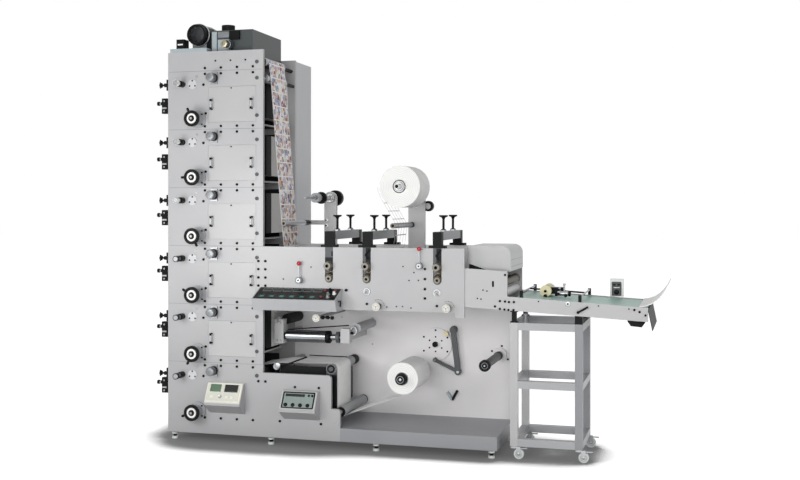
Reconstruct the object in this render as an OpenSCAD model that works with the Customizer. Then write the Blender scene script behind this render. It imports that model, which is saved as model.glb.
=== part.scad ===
// Tower label press: six stacked print units, die-cutting section, paper bay and sheet delivery.
// Modelled from the tower's left front edge: x along the press, y to the rear, z up from the floor.

/* [Frame] */
// Height of one print unit
unit_pitch = 400; // [385:5:430]
// Thickness of the frame plates
plate_t = 25; // [20:1:28]
// Depth from the front faces to the rear plates
frame_depth = 600; // [580:5:640]
// Tower height above its top seam
head_h = 134; // [125:1:150]
// Height of the levelling feet
foot_h = 57; // [45:1:70]
// Height of the base bed
base_h = 88; // [75:1:100]
// Reach of the base bed past the die section
base_past = 212; // [190:2:235]
// Height of the die-cutting plates
die_h = 413; // [400:1:430]

/* [Print units] */
// Distance from the tower's left edge to the unit covers
cover_x = 304; // [290:2:320]
// Width of a unit's front cover
cover_w = 352; // [330:2:370]
// Distance from the unit covers to the tower's right edge
cover_edge = 52; // [46:1:60]
// Height of a unit's front cover
cover_h = 240; // [220:2:250]
// Thickness of a unit's front cover
cover_t = 6; // [4:0.5:8]
// Radius of the handwheels
wheel_r = 55; // [48:1:58]
// Radius of the handwheel spindles
spindle_r = 10; // [8:0.5:12]
// Radius of the plate cylinders
plate_cyl_r = 60; // [52:1:64]
// Radius of the impression cylinders
press_cyl_r = 62; // [54:1:66]
// Radius of the screen rollers
screen_r = 52; // [46:1:56]
// Radius of the ink fountain rollers
fountain_r = 46; // [40:1:48]
// How far the ink slides stand out of the tower on the left
edge_reach = 206; // [190:1:220]

/* [Covers and drying] */
// Depth of the gear cover behind the tower
gear_cover_d = 310; // [280:5:340]
// Wall of the sheet metal covers
sheet_t = 4; // [3:0.5:6]
// Height of the drying hood on the tower
hood_h = 234; // [210:2:240]
// Radius of the blower
blower_r = 76; // [66:1:80]

/* [Web] */
// Width of the paper web
web_w = 280; // [250:5:320]
// Front edge of the paper web behind the front face
web_y = 95; // [80:1:120]
// Thickness of the paper web
web_t = 1; // [0.8:0.1:1.4]
// Radius of the idler rollers
idler_r = 32; // [28:1:34]

/* [Die section] */
// Distance from the tower to the first die station
station_first = 472; // [455:1:490]
// Distance from the first to the second die station
station_near = 262; // [240:1:285]
// Distance from the second to the third die station
station_far = 478; // [450:1:500]
// Distance from the third die station to the section's end
station_last = 178; // [160:1:195]
// Radius of the die and anvil journals
journal_r = 28; // [25:0.5:31]
// Radius of the die and anvil cylinders
die_r = 41; // [38:0.5:44]
// Height of the bridges over the die section
bridge_h = 105; // [95:1:115]
// Height of the pressure screws above the bridges
screw_h = 108; // [95:1:120]
// Length of the red ball levers
lever_len = 112; // [95:1:120]
// Length of the control console
console_w = 585; // [560:5:610]
// Reach of the control console in front
console_d = 150; // [135:1:170]

/* [Rolls] */
// Radius of the paper roll on the unwind
unwind_r = 105; // [90:1:125]
// Width of the paper roll on the unwind
unwind_w = 330; // [300:5:350]
// Radius of the waste roll
waste_r = 140; // [120:1:150]
// Width of the waste roll
waste_w = 270; // [240:5:290]
// Radius of the roll shafts
shaft_r = 16; // [13:0.5:18]

/* [Delivery] */
// Length of the sheet delivery past the die section
delivery_len = 1151; // [1120:5:1180]
// Downward slope of the delivery
delivery_tilt = 3.2; // [2.6:0.1:3.8]
// Height of the conveyor side rails
rail_h = 88; // [80:1:96]
// Height of the cutter side plates
cutter_h = 248; // [235:1:260]
// Reach of the stacking sheet past the conveyor
tray_reach = 122; // [100:1:140]

/* [Stand] */
// Length of the delivery stand
stand_w = 460; // [430:5:490]
// Distance of the delivery stand behind the front faces
stand_y = 60; // [50:1:80]
// Side of the stand's square tubes
tube = 48; // [40:1:54]
// Radius of the castor wheels
castor_r = 32; // [28:1:36]

/* [Hidden] */
$fn = 64;
units = 6;
press_grey = "#b7bbba";
pale_grey = "#cdd1d0";
dark_grey = "#55595b";
near_black = "#232528";
steel = "#c3c6c8";
paper_white = "#eeeeea";
// Gap beside a shaft that turns, and beside a curved face that passes another
run_gap = 0.05;
skin_gap = 0.5;

// Main lengths and levels of the frame
tower_w = cover_x + cover_w + cover_edge;
stations = [station_first, station_first + station_near, station_first + station_near + station_far];
die_len = stations[2] + station_last;
base_top = foot_h + base_h;
tower_top = base_top + units * unit_pitch + head_h;
die_x0 = tower_w;
die_x1 = tower_w + die_len;
die_top = base_top + 3 * unit_pitch;
die_bottom = die_top - die_h;
base_len = die_x1 + base_past;
rear_back = frame_depth + plate_t;
gear_back = rear_back + gear_cover_d;
function seam_z(k) = base_top + k * unit_pitch;

// Overall box, for the origin at the middle of the floor area
conveyor_x1 = die_x1 + delivery_len;
reach_x1 = conveyor_x1 + tray_reach;
mid_x = (reach_x1 - edge_reach) / 2;
mid_y = (gear_back - console_d) / 2;

// Places on a unit's front, from the tower edge and the seam below
cover_rise = 48;
cover_gap = 1.5;
handle_inset = 28;
handle_len = 64;
handle_r = 5;
handle_reach = 26;
wheel_x = cover_x - 76;
wheel_rise = 68;
wheel_front = -112;
wheel_t = 26;
barrel_r = 38;
barrel_end = wheel_front + wheel_t + 6;
seat_r = 60;
seat_t = 12;
knob_x = cover_x + 46;
knob_drop = 52;
knob_r = 29;
knob_len = 84;
grip_x = 112;
grip_drop = 88;
grip_len = 112;
flange_x = cover_x - 118;
flange_r = 33;
flange_proud = 5;
seam_cut = 2.5;

// Cylinders of a unit: each one's centre is one nip away from the last
nip_gap = 1;
fountain_at = [160, 146];
screen_at = fountain_at + (fountain_r + screen_r + nip_gap) * [cos(40), sin(40)];
plate_at = screen_at + (screen_r + plate_cyl_r + nip_gap) * [cos(10), sin(10)];
press_at = plate_at + [plate_cyl_r + press_cyl_r + nip_gap, 0];
roller_inset = 55;
axle_r = 18;
deck_rise = 38;
deck_t = 12;
deck_end = 110;
tray_rise = 74;
tray_h = 46;
tray_w = 180;
dryer_x0 = press_at[0] + press_cyl_r + 26;
dryer_x1 = tower_w - 56;

// Heights of the die stations' cylinders
anvil_z = die_bottom + 205;
die_z = anvil_z + 2 * die_r + web_t + 2;
nip_z = (anvil_z + die_z) / 2;
journal_proud = 14;
slot_gap = 0.2;
slot_w = 2 * (journal_r + slot_gap);

// Idler rollers as x, z and radius
top_idlers = [[tower_w - 30, seam_z(units) + 54, idler_r], [tower_w - 16, seam_z(units) - 56, idler_r]];
post_idler = [tower_w + 117, die_top + 154, 18];
turn_idler = [tower_w + 162, nip_z + idler_r + web_t / 2 + skin_gap, idler_r];
exit_idler = [die_x1 - 44, nip_z - idler_r - web_t / 2 - skin_gap, idler_r];
waste_idler = [tower_w + stations[1] + 155, die_top + 142, 18];
feed_low = [tower_w + 532, base_top + 97, idler_r];
feed_high = [feed_low[0] - 2 * idler_r - web_t - 2 * skin_gap, base_top + 381, idler_r];
feed_in = [tower_w + 70, base_top + 381, 22];
feed_top = [tower_w + 587, base_top + 640, idler_r];
feed_axle_r = 14;

// Shafts as x and z
unwind_at = [die_x1 - 431, base_top + 337];
mandrel_at = [die_x0 + 280, die_top + 330];
waste_at = [die_x0 + stations[1] + 188, die_top + 403];
rewind_at = [base_len - 89, base_top + 445];
dancer_at = [die_x1 - 201, base_top + 610];
clutch_at = [die_x1 - 333, base_top + 503];
post_t = 25;
post_y = frame_depth - post_t;
post_foot = 110;

// Delivery: heights along its slope
cutter_len = 276;
delivery_z = die_bottom + 38;
rail_t = 15;
rail_y = 10;
belt_r = 26;
belt_t = 3;
belt_drop = 6;
function fall(x) = (x - die_x1) * tan(delivery_tilt);
function rail_low(x) = delivery_z - fall(x);
belt_y0 = rail_y + rail_t + 14;
belt_y1 = frame_depth - 14;
belt_x0 = die_x1 + cutter_len + belt_r + 24;
belt_x1 = conveyor_x1 - belt_r - 8;
function belt_axis(x) = rail_low(x) + rail_h - belt_drop - belt_t - belt_r;
cutter_nip = [die_x1 + cutter_len - 46, rail_low(die_x1 + cutter_len) + 134];

// Stand: its top carries the delivery on four blocks
stand_gap = 74;
stand_back = 35;
stand_x = base_len + stand_gap;
stand_d = frame_depth - stand_back - stand_y;
block_h = 56;
castor_h = 2 * castor_r + 18;
stand_top = rail_low(stand_x + stand_w) - block_h;
castor_at = [
    for (y = [stand_y + tube / 2, stand_y + stand_d - tube / 2])
        for (x = [stand_x + tube / 2, stand_x + stand_w - tube / 2])
            [x, y]
];

// Shapes in the press frame
module placed() {
    translate([-mid_x, -mid_y, 0])
        children();
}

module slab(x0, x1, y0, y1, z0, z1) {
    translate([x0, y0, z0])
        cube([x1 - x0, y1 - y0, z1 - z0]);
}

module rod_y(at, r, y0, y1) {
    translate([at[0], y1, at[1]])
        rotate([90, 0, 0])
            cylinder(r = r, h = y1 - y0);
}

module rod_x(y, z, r, x0, x1) {
    translate([x0, y, z])
        rotate([0, 90, 0])
            cylinder(r = r, h = x1 - x0);
}

module rod_z(x, y, r, z0, z1) {
    translate([x, y, z0])
        cylinder(r = r, h = z1 - z0);
}

// An outline in x and z, carried from y0 to y1
module deep(y0, y1) {
    translate([0, y1, 0])
        rotate([90, 0, 0])
            linear_extrude(height = y1 - y0)
                children();
}

// An outline in y and z, carried from x0 to x1
module long(x0, x1) {
    translate([x0, 0, 0])
        rotate([90, 0, 90])
            linear_extrude(height = x1 - x0)
                children();
}

// A turned profile of radius and depth, standing out of the front face at y0
module turned(at, y0) {
    translate([at[0], y0, at[1]])
        rotate([90, 0, 0])
            rotate_extrude()
                children();
}

// A rectangle with its upper right corner round
module round_corner(x0, x1, z0, z1, r) {
    translate([x0, z0])
        square([x1 - x0 - r, z1 - z0]);
    translate([x0, z0])
        square([x1 - x0, z1 - z0 - r]);
    translate([x1 - r, z1 - r])
        circle(r);
}

// A cylinder body on two axle ends between the frame plates
module cylinder_between(at, r, inset = roller_inset, axle = axle_r) {
    rod_y(at, r, plate_t + inset, frame_depth - inset);
    rod_y(at, axle, plate_t, frame_depth);
}

// Web path: circles of x, z, centre line radius and side, where side 1 lies left of the way the web runs
function heading(a, b) =
    let (c = [b[0] - a[0], b[1] - a[1]], q = b[3] * b[2] - a[3] * a[2])
    atan2(c[1], c[0]) - atan2(q, sqrt(c[0] * c[0] + c[1] * c[1] - q * q));
function touch(c, turn, off) =
    [c[0], c[1]] - c[3] * (c[2] - c[3] * off) * [-sin(turn), cos(turn)];
function swing(from, to) = let (d = to - from) d > 180 ? d - 360 : d < -180 ? d + 360 : d;
arc_step = 9;
function web_line(path, off) = [
    for (i = [0 : len(path) - 1])
        let (
            before = i > 0 ? heading(path[i - 1], path[i]) : heading(path[0], path[1]),
            after = i < len(path) - 1 ? heading(path[i], path[i + 1]) : before,
            turn = swing(before, after),
            steps = max(1, ceil(abs(turn) / arc_step))
        )
        for (s = [0 : abs(turn) < 0.01 ? 0 : steps])
            touch(path[i], before + turn * s / steps, off)
];
module web(path) {
    left = web_line(path, web_t / 2);
    right = web_line(path, -web_t / 2);
    deep(web_y, web_y + web_w)
        polygon(concat(left, [for (i = [len(right) - 1 : -1 : 0]) right[i]]));
}
function around(roller, side) = [roller[0], roller[1], roller[2] + skin_gap + web_t / 2, side];

module tower_front_plate() {
    color(press_grey)
        difference() {
            union() {
                slab(0, tower_w, 0, plate_t, foot_h, tower_top);
                for (k = [1 : units])
                    rod_y([flange_x, seam_z(k) - grip_drop], flange_r, -flange_proud, plate_t / 2);
            }
            for (k = [1 : units - 1])
                slab(cover_x - cover_gap, cover_x + cover_w + cover_gap, -1, cover_t,
                    seam_z(k) + cover_rise - cover_gap, seam_z(k) + cover_rise + cover_h + cover_gap);
            for (k = [1 : units])
                slab(-1, tower_w + 1, -1, seam_cut, seam_z(k) - seam_cut / 2, seam_z(k) + seam_cut / 2);
        }
}

module tower_rear_plate() {
    color(press_grey)
        slab(0, tower_w, frame_depth, rear_back, base_top, tower_top);
}

module unit_covers() {
    color(pale_grey)
        for (k = [1 : units - 1])
            slab(cover_x, cover_x + cover_w, 0, cover_t,
                seam_z(k) + cover_rise, seam_z(k) + cover_rise + cover_h);
}

module bow_handle(x, z) {
    for (end = [-1, 1])
        rod_y([x, z + end * handle_len / 2], handle_r, -handle_reach, 0);
    rod_z(x, -handle_reach, handle_r, z - handle_len / 2 - handle_r, z + handle_len / 2 + handle_r);
}

module cover_handles() {
    color(near_black)
        for (k = [1 : units - 1])
            for (x = [cover_x + handle_inset, cover_x + cover_w - handle_inset])
                bow_handle(x, seam_z(k) + cover_rise + cover_h / 2);
}

// Dished wheel with a dial ring, a hub over the spindle and a short lock pin on the rim
module handwheel(k, pin_angle) {
    at = [wheel_x, seam_z(k) + wheel_rise];
    hub_r = 0.4 * wheel_r;
    dish = 9;
    pin_r = 5;
    pin_out = 24;
    color(near_black)
        difference() {
            union() {
                turned(at, wheel_front + wheel_t)
                    polygon([
                        [0, 0], [wheel_r - 4, 0], [wheel_r, 4],
                        [wheel_r, wheel_t - 5], [wheel_r - 5, wheel_t],
                        [wheel_r - 14, wheel_t], [wheel_r - 18, wheel_t - dish], [hub_r, wheel_t - dish],
                        [hub_r - 3, wheel_t - 2], [0, wheel_t - 2]
                    ]);
                translate([at[0], wheel_front + wheel_t / 2, at[1]])
                    rotate([0, 90 - pin_angle, 0])
                        rotate([0, -90, 0])
                            rod_x(0, 0, pin_r, wheel_r - 8, wheel_r + pin_out);
            }
            rod_y(at, spindle_r + run_gap, wheel_front + wheel_t / 2, wheel_front + wheel_t + 1);
        }
}
pin_angles = [200, 245, 150, 300, 180, 115];

module handwheel_housings() {
    color(dark_grey)
        for (k = [0 : units - 1]) {
            at = [wheel_x, seam_z(k) + wheel_rise];
            rod_y(at, barrel_r, barrel_end, 0);
            rod_y(at, seat_r, -seat_t, 0);
            rod_y(at, spindle_r, wheel_front + wheel_t / 2 + 1, barrel_end + 1);
        }
}

// A dial on its stem, standing out of a face at y0
module dial(at, y0, stem) {
    dial_r = 27;
    dial_t = 14;
    stem_r = 21;
    turned(at, y0)
        polygon([
            [0, 0], [stem_r, 0], [stem_r, stem], [dial_r, stem], [dial_r, stem + dial_t - 3],
            [dial_r - 3, stem + dial_t], [0, stem + dial_t]
        ]);
}

// Register knobs and spool grips, one of each on a unit, and the dials of the die section and the bay
dial_rise = 29;
dial_stem = 44;
bay_dial_at = [die_x0 + 377, die_bottom - 62];
bay_dial_back = 34;
module adjusting_knobs() {
    plate_w = 50;
    plate_h = 84;
    plate_thick = 10;
    edge = 4;
    waist = 12;
    grip_r = 19;
    color(dark_grey)
        for (k = [1 : units]) {
            z = seam_z(k) - knob_drop;
            slab(knob_x - plate_w / 2, knob_x + plate_w / 2, -plate_thick, 0,
                z - plate_h / 2, z + plate_h / 2);
            turned([knob_x, z], -plate_thick)
                polygon([
                    [0, -1], [knob_r - edge, -1], [knob_r, edge], [knob_r, knob_len - plate_thick - edge],
                    [knob_r - edge, knob_len - plate_thick], [0, knob_len - plate_thick]
                ]);
            turned([grip_x, seam_z(k) - grip_drop], 0)
                polygon([[0, 0], [grip_r, 0], [grip_r, 0.3 * grip_len], [waist, 0.4 * grip_len],
                    [waist, 0.6 * grip_len], [grip_r, 0.7 * grip_len], [grip_r, grip_len - edge],
                    [grip_r - edge, grip_len], [0, grip_len]]);
        }
    color(dark_grey) {
        for (x = [die_x0 + stations[1] + 79, die_x1 - 108])
            dial([x, die_bottom + dial_rise], 0, dial_stem);
        dial(bay_dial_at, bay_dial_back, bay_dial_back / 2);
        rod_y(bay_dial_at, 12, bay_dial_back - 1, frame_depth);
    }
}

// Wing screws in lugs on the tower's left edges, and the slides of the ink trays with their knobs
tray_x0 = fountain_at[0] - tray_w / 2;
module edge_screws() {
    lug = 14;
    lug_h = 76;
    nut_r = 11;
    nut_t = 16;
    screw_r = 6;
    wing_reach = 76;
    wing_t = 8;
    wing_rise = 19;
    wing_fork = 30;
    slide_y0 = 222;
    slide_y1 = 258;
    slide_mid = (slide_y0 + slide_y1) / 2;
    slide_x0 = -edge_reach + 40;
    slide_x1 = slide_x0 + 40;
    slide_low = 23;
    slide_high = 132;
    knob_up = 96;
    slide_knob_r = 15;
    slide_knob_t = 14;
    color(near_black) {
        for (k = [1 : units])
            for (y = [0, frame_depth]) {
                mid = y + plate_t / 2;
                high = seam_z(k) - grip_drop;
                slab(-lug, 0, y + 2, y + plate_t - 2, high - lug_h / 2, high + lug_h / 2);
                rod_x(mid, high, nut_r, -lug - nut_t, -lug + 1);
                rod_x(mid, high, screw_r, -wing_reach + wing_fork - wing_t, -lug);
                deep(mid - wing_t / 2, mid + wing_t / 2)
                    for (side = [-1, 1])
                        strip([-wing_reach + wing_fork, high],
                            [-wing_reach + wing_t, high + side * wing_rise], wing_t);
            }
        for (k = [0 : units - 1]) {
            z0 = seam_z(k) + deck_rise + tray_rise;
            slab(slide_x0, tray_x0, slide_y0, slide_y1, z0 + slide_low, z0 + tray_h - sheet_t);
            slab(slide_x0, slide_x1, slide_y0, slide_y1, z0 + slide_low, z0 + slide_high);
            rod_x(slide_mid, z0 + knob_up, screw_r + 2, -edge_reach + 1, slide_x0 + 1);
            rod_x(slide_mid, z0 + knob_up, slide_knob_r, -edge_reach, -edge_reach + slide_knob_t);
        }
    }
}

module unit_decks() {
    color(pale_grey)
        for (k = [1 : units])
            slab(30, tower_w - deck_end, plate_t, frame_depth,
                seam_z(k) + deck_rise, seam_z(k) + deck_rise + deck_t);
}

module print_cylinders() {
    color(steel)
        for (k = [0 : units - 1]) {
            lift = [0, seam_z(k) + deck_rise];
            cylinder_between(plate_at + lift, plate_cyl_r);
            cylinder_between(press_at + lift, press_cyl_r);
        }
}

module inking_rollers() {
    color(dark_grey)
        for (k = [0 : units - 1]) {
            lift = [0, seam_z(k) + deck_rise];
            cylinder_between(screen_at + lift, screen_r);
            cylinder_between(fountain_at + lift, fountain_r);
        }
}

module ink_trays() {
    color(steel)
        for (k = [0 : units - 1]) {
            z0 = seam_z(k) + deck_rise + tray_rise;
            difference() {
                slab(tray_x0, tray_x0 + tray_w, plate_t, frame_depth, z0, z0 + tray_h);
                slab(tray_x0 + sheet_t, tray_x0 + tray_w - sheet_t,
                    plate_t + sheet_t, frame_depth - sheet_t, z0 + sheet_t, z0 + tray_h + 1);
            }
        }
}

module web_dryers() {
    front = 190;
    color(pale_grey)
        for (k = [1 : units - 1])
            slab(dryer_x0, dryer_x1, front, frame_depth, seam_z(k) + 84, seam_z(k) + 362);
}

gear_x1 = tower_w;
module gear_cover() {
    seam = 2;
    top = tower_top - 8;
    color(press_grey)
        difference() {
            slab(0, gear_x1, rear_back, gear_back, base_top, top);
            slab(sheet_t, gear_x1 - sheet_t, rear_back + sheet_t, gear_back - sheet_t,
                base_top - 1, top - sheet_t);
            for (k = [2, 4]) {
                z = seam_z(k);
                difference() {
                    slab(-1, gear_x1 + 1, rear_back - 1, gear_back + 1, z - seam, z + seam);
                    slab(seam, gear_x1 - seam, rear_back - 2, gear_back - seam, z - 9, z + 9);
                }
            }
        }
}

hood_x0 = cover_x - 8;
hood_x1 = tower_w - 102;
hood_y0 = 62;
hood_back = 20;
hood_z0 = seam_z(units) + deck_rise + deck_t;
module drying_hood() {
    top = hood_z0 + hood_h;
    valve_at = [hood_x0 + 144, tower_top + 46];
    valve_reach = 74;
    valve_r = 25;
    valve_base = 30;
    valve_base_r = 32;
    cap_r = 46;
    cap_h = 42;
    color(dark_grey) {
        slab(hood_x0, hood_x1, hood_y0, frame_depth - hood_back, hood_z0, top);
        rod_z(hood_x0 + 98, hood_y0 + 70, cap_r, top - 1, top + cap_h);
        rod_y(valve_at, valve_r, hood_y0 - valve_reach, hood_y0 + 1);
        rod_y(valve_at, valve_base_r, hood_y0 - valve_base, hood_y0 + 1);
    }
}

// Blower on a plate over the tower's top: a scroll with its round inlet to the front and a duct to the hood
module blower() {
    deck = 26;
    deck_x1 = cover_x - 12;
    at = [cover_x - 94, tower_top + deck + blower_r + 20];
    foot = 0.7 * blower_r;
    scroll_y0 = 46;
    scroll_y1 = 226;
    foot_y0 = 60;
    foot_y1 = 210;
    duct_y0 = 70;
    duct_y1 = 190;
    inlet = 6;
    ring = 12;
    bore_y1 = 120;
    motor_x = 52;
    motor_w = 60;
    motor_y0 = 22;
    motor_y1 = 92;
    motor_h = 68;
    color(dark_grey)
        difference() {
            union() {
                rod_y(at, blower_r, scroll_y0, scroll_y1);
                rod_y(at, blower_r - inlet, inlet, scroll_y0 + 1);
                slab(at[0] - foot, at[0] + foot, foot_y0, foot_y1, tower_top + deck - 1, at[1]);
                slab(at[0] + foot - 1, hood_x0, duct_y0, duct_y1, tower_top + deck - 1, at[1]);
                slab(16, deck_x1, 0, rear_back, tower_top, tower_top + deck);
                slab(motor_x, motor_x + motor_w, motor_y0, motor_y1,
                    tower_top + deck - 1, tower_top + deck + motor_h);
            }
            rod_y(at, blower_r - inlet - ring, inlet - 1, bore_y1);
        }
}

module idler_rollers() {
    idler_inset = 30;
    idler_axle = 12;
    color(steel) {
        for (r = [turn_idler, exit_idler])
            cylinder_between(r, r[2], idler_inset, idler_axle);
        for (r = top_idlers) {
            rod_y(r, r[2], plate_t + idler_inset, web_y + web_w + idler_inset);
            rod_y(r, idler_axle, plate_t, frame_depth);
        }
        for (r = [feed_low, feed_high, feed_in]) {
            rod_y(r, r[2], 66, frame_depth - 40);
            rod_y(r, feed_axle_r, 48, frame_depth);
        }
        rod_y(feed_top, feed_top[2], web_y + web_w / 2, frame_depth - lid_t - 1);
        rod_y(feed_top, feed_axle_r, web_y + web_w / 2, frame_depth);
        for (r = [post_idler, waste_idler])
            rod_y(r, r[2], 84, post_y);
        for (side = [-1, 1])
            rod_y(cutter_nip + side * [0, idler_r + nip_gap + web_t], idler_r,
                rail_y + rail_t, frame_depth);
        for (x = [belt_x0, belt_x1])
            rod_y([x, belt_axis(x)], belt_r - 0.3, rail_y + rail_t, frame_depth);
    }
}

module printed_web() {
    start = press_at + [40, seam_z(units - 1) + deck_rise + press_cyl_r + 6];
    finish = cutter_nip - [idler_r + 8, 0];
    color(paper_white)
        web([
            [start[0], start[1], 0, 1], around(top_idlers[0], -1), around(top_idlers[1], -1),
            around(post_idler, 1), around(turn_idler, 1), around(exit_idler, -1),
            [finish[0], finish[1], 0, 1]
        ]);
}

module feed_web() {
    color(paper_white)
        web([
            around([unwind_at[0], unwind_at[1], unwind_r], -1), around(feed_low, -1), around(feed_high, 1),
            around(feed_in, 1), [tower_w - 90, feed_in[1] - 4, 0, 1]
        ]);
}

lower_x1 = die_x0 + 486;
lower_step_x = die_x0 + 549;
lower_top = base_top + 346;
lower_step_top = base_top + 125;
module base_bed() {
    color(press_grey)
        difference() {
            slab(0, base_len, 0, rear_back, foot_h, base_top);
            slab(-1, lower_step_x, -1, plate_t, foot_h - 1, base_top + 1);
        }
    color(press_grey)
        slab(0, gear_x1, rear_back - 1, gear_back, foot_h, base_top);
}

feet_x = [24, tower_w + 36, die_x1 - 608, base_len - 46];
module levelling_feet() {
    pad_r = 22;
    pad_h = 16;
    stem_r = 12;
    color(near_black)
        for (x = feet_x)
            for (y = [plate_t + 34, rear_back - 40]) {
                rod_z(x, y, pad_r, 0, pad_h);
                rod_z(x, y, stem_r, pad_h - 1, foot_h);
            }
    color(near_black)
        for (x = [feet_x[0], tower_w - 24]) {
            rod_z(x, gear_back - 50, pad_r, 0, pad_h);
            rod_z(x, gear_back - 50, stem_r, pad_h - 1, foot_h);
        }
}

module rear_wall() {
    color(pale_grey)
        deep(frame_depth, rear_back)
            polygon([
                [die_x0, base_top], [base_len, base_top], [base_len, die_bottom - 20],
                [die_x1, die_bottom], [die_x1, die_top], [die_x0, die_top]
            ]);
}

module lower_front_plate() {
    color(press_grey)
        deep(0, plate_t) {
            round_corner(die_x0, lower_x1, foot_h, lower_top, 24);
            round_corner(die_x0, lower_step_x, foot_h, lower_step_top, 24);
        }
}

module die_front_plate() {
    boss_r = 17;
    boss_rise = 119;
    boss_proud = 6;
    tab_w = 58;
    tab_h = 34;
    color(press_grey)
        difference() {
            union() {
                slab(die_x0, die_x1, 0, plate_t, die_bottom, die_top);
                slab(die_x1 - tab_w, die_x1, 0, plate_t, die_bottom - tab_h, die_bottom + 1);
                for (at = lever_at)
                    rod_y(at, lever_pin_r, lever_mid, 1);
                for (s = [stations[1], stations[2]])
                    rod_y([die_x0 + s, die_bottom + boss_rise], boss_r, -boss_proud, 1);
            }
            for (s = [stations[1], stations[2]])
                rod_y([die_x0 + s, die_bottom + boss_rise], boss_r / 2, -boss_proud - 1, boss_proud);
            for (s = stations) {
                slab(die_x0 + s - slot_w / 2, die_x0 + s + slot_w / 2, -1, plate_t + 1,
                    anvil_z, die_top + 1);
                rod_y([die_x0 + s, anvil_z], slot_w / 2, -1, plate_t + 1);
            }
        }
}

// Anvil and die cylinders, with bored bearing ends of other reach in front of the plate
module die_cylinders() {
    body_inset = 40;
    end_r = [20, 24];
    end_reach = [journal_proud, 46];
    end_bore = [9, 11];
    color(steel)
        for (s = stations)
            for (i = [0, 1]) {
                at = [die_x0 + s, i == 0 ? anvil_z : die_z];
                rod_y(at, die_r, plate_t + body_inset, frame_depth - body_inset);
                rod_y(at, journal_r, 0, frame_depth);
                difference() {
                    rod_y(at, end_r[i], -end_reach[i], 1);
                    rod_y(at, end_bore[i], -end_reach[i] - 1, -2);
                }
            }
}

// Blocks on the plates at each end of a bridge, with a tongue that bears on the upper journal
beam_low = die_top + bridge_h - 55;
block_w = 60;
module bridge_blocks() {
    flange_w = 116;
    flange_h = 16;
    color(near_black)
        for (s = stations) {
            x = die_x0 + s;
            slab(x - block_w / 2, x + block_w / 2, -4, plate_t + 20, die_top, die_top + bridge_h);
            slab(x - flange_w / 2, x + flange_w / 2, -4, plate_t + 4, die_top, die_top + flange_h);
            slab(x - journal_r, x + journal_r, 0, plate_t, die_z + journal_r + slot_gap, die_top + 1);
            slab(x - block_w / 2, x + block_w / 2, frame_depth - 20, rear_back + 4,
                die_top, die_top + bridge_h);
            slab(x - flange_w / 2, x + flange_w / 2, frame_depth - 4, rear_back + 4,
                die_top, die_top + flange_h);
        }
}

module bridge_beams() {
    color(press_grey)
        for (s = stations)
            slab(die_x0 + s - block_w / 2 + 3, die_x0 + s + block_w / 2 - 3, plate_t + 20, frame_depth - 20,
                beam_low, die_top + bridge_h);
}

module pressure_screws() {
    head_r = 29;
    head_t = 9;
    stem_r = 8;
    collar_r = 17;
    collar_h = 14;
    color(near_black)
        for (s = stations)
            for (y = [0.29, 0.76])
                translate([die_x0 + s, y * frame_depth, die_top + bridge_h])
                    rotate_extrude()
                        polygon([
                            [0, 0], [collar_r, 0], [collar_r, collar_h], [stem_r, collar_h + 2],
                            [stem_r, screw_h - 3 * head_t], [stem_r + 5, screw_h - 1.8 * head_t],
                            [head_r, screw_h - head_t], [head_r, screw_h], [0, screw_h]
                        ]);
}

// Lever on a boss, which turns on a pin in the plate
lever_at = [[die_x0 + 267, die_bottom + 191], [die_x0 + stations[2] - 116, die_bottom + 297]];
lever_pin_r = 9;
lever_mid = -22;
module ball_lever(at) {
    boss_r = 22;
    boss_t = 32;
    ball_r = 15;
    rod_r = 5;
    color(dark_grey)
        difference() {
            union() {
                rod_y(at, boss_r, lever_mid - boss_t / 2, lever_mid + boss_t / 2);
                rod_z(at[0], lever_mid, rod_r, at[1], at[1] + lever_len - 4);
                translate([at[0], lever_mid, at[1] + lever_len])
                    sphere(ball_r);
            }
            rod_y(at, lever_pin_r + run_gap, lever_mid - 1, 0);
        }
}

// Posts behind the die section: the first has an arm for the web's idler, the second carries the waste roll
module rewind_posts() {
    bore = shaft_r + run_gap;
    w1 = 92;
    w2 = 120;
    arm_h = 32;
    brake_at = waste_at + [75, -131];
    brake_r = 36;
    color(press_grey) {
        difference() {
            union() {
                deep(post_y, frame_depth) {
                    translate([mandrel_at[0] - w1 / 2, die_top - post_foot])
                        square([w1, mandrel_at[1] - die_top + post_foot]);
                    translate(mandrel_at)
                        circle(w1 / 2);
                    translate([post_idler[0] - 26, post_idler[1] - arm_h / 2])
                        square([mandrel_at[0] - post_idler[0] + 26, arm_h]);
                }
            }
            rod_y(mandrel_at, bore, post_y - 1, frame_depth + 1);
        }
        difference() {
            deep(post_y, frame_depth) {
                translate([waste_at[0] - w2 / 2, die_top - post_foot])
                    square([w2, waste_at[1] - die_top + post_foot]);
                translate(waste_at)
                    circle(w2 / 2);
            }
            rod_y(waste_at, bore, post_y - 1, frame_depth + 1);
        }
        rod_y(brake_at, brake_r, frame_depth + 6, frame_depth + 40);
        rod_y(brake_at - [brake_r, 0], brake_r / 2, post_y, frame_depth + 7);
    }
}

module rewind_mandrel() {
    pulley_r = 57;
    pulley_back = 110;
    pulley_t = 38;
    tip_y = 64;
    shaft_y = 230;
    collar_r = 34;
    disc_r = 42;
    color(steel) {
        rod_y(mandrel_at, shaft_r, shaft_y, frame_depth + pulley_back);
        rod_y(mandrel_at, shaft_r / 2, tip_y, shaft_y + 1);
        rod_y(mandrel_at, collar_r, shaft_y + 24, shaft_y + 70);
        rod_y(mandrel_at, disc_r, shaft_y + 142, shaft_y + 162);
        rod_y(mandrel_at, pulley_r, frame_depth + pulley_back - pulley_t, frame_depth + pulley_back);
    }
}

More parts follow.
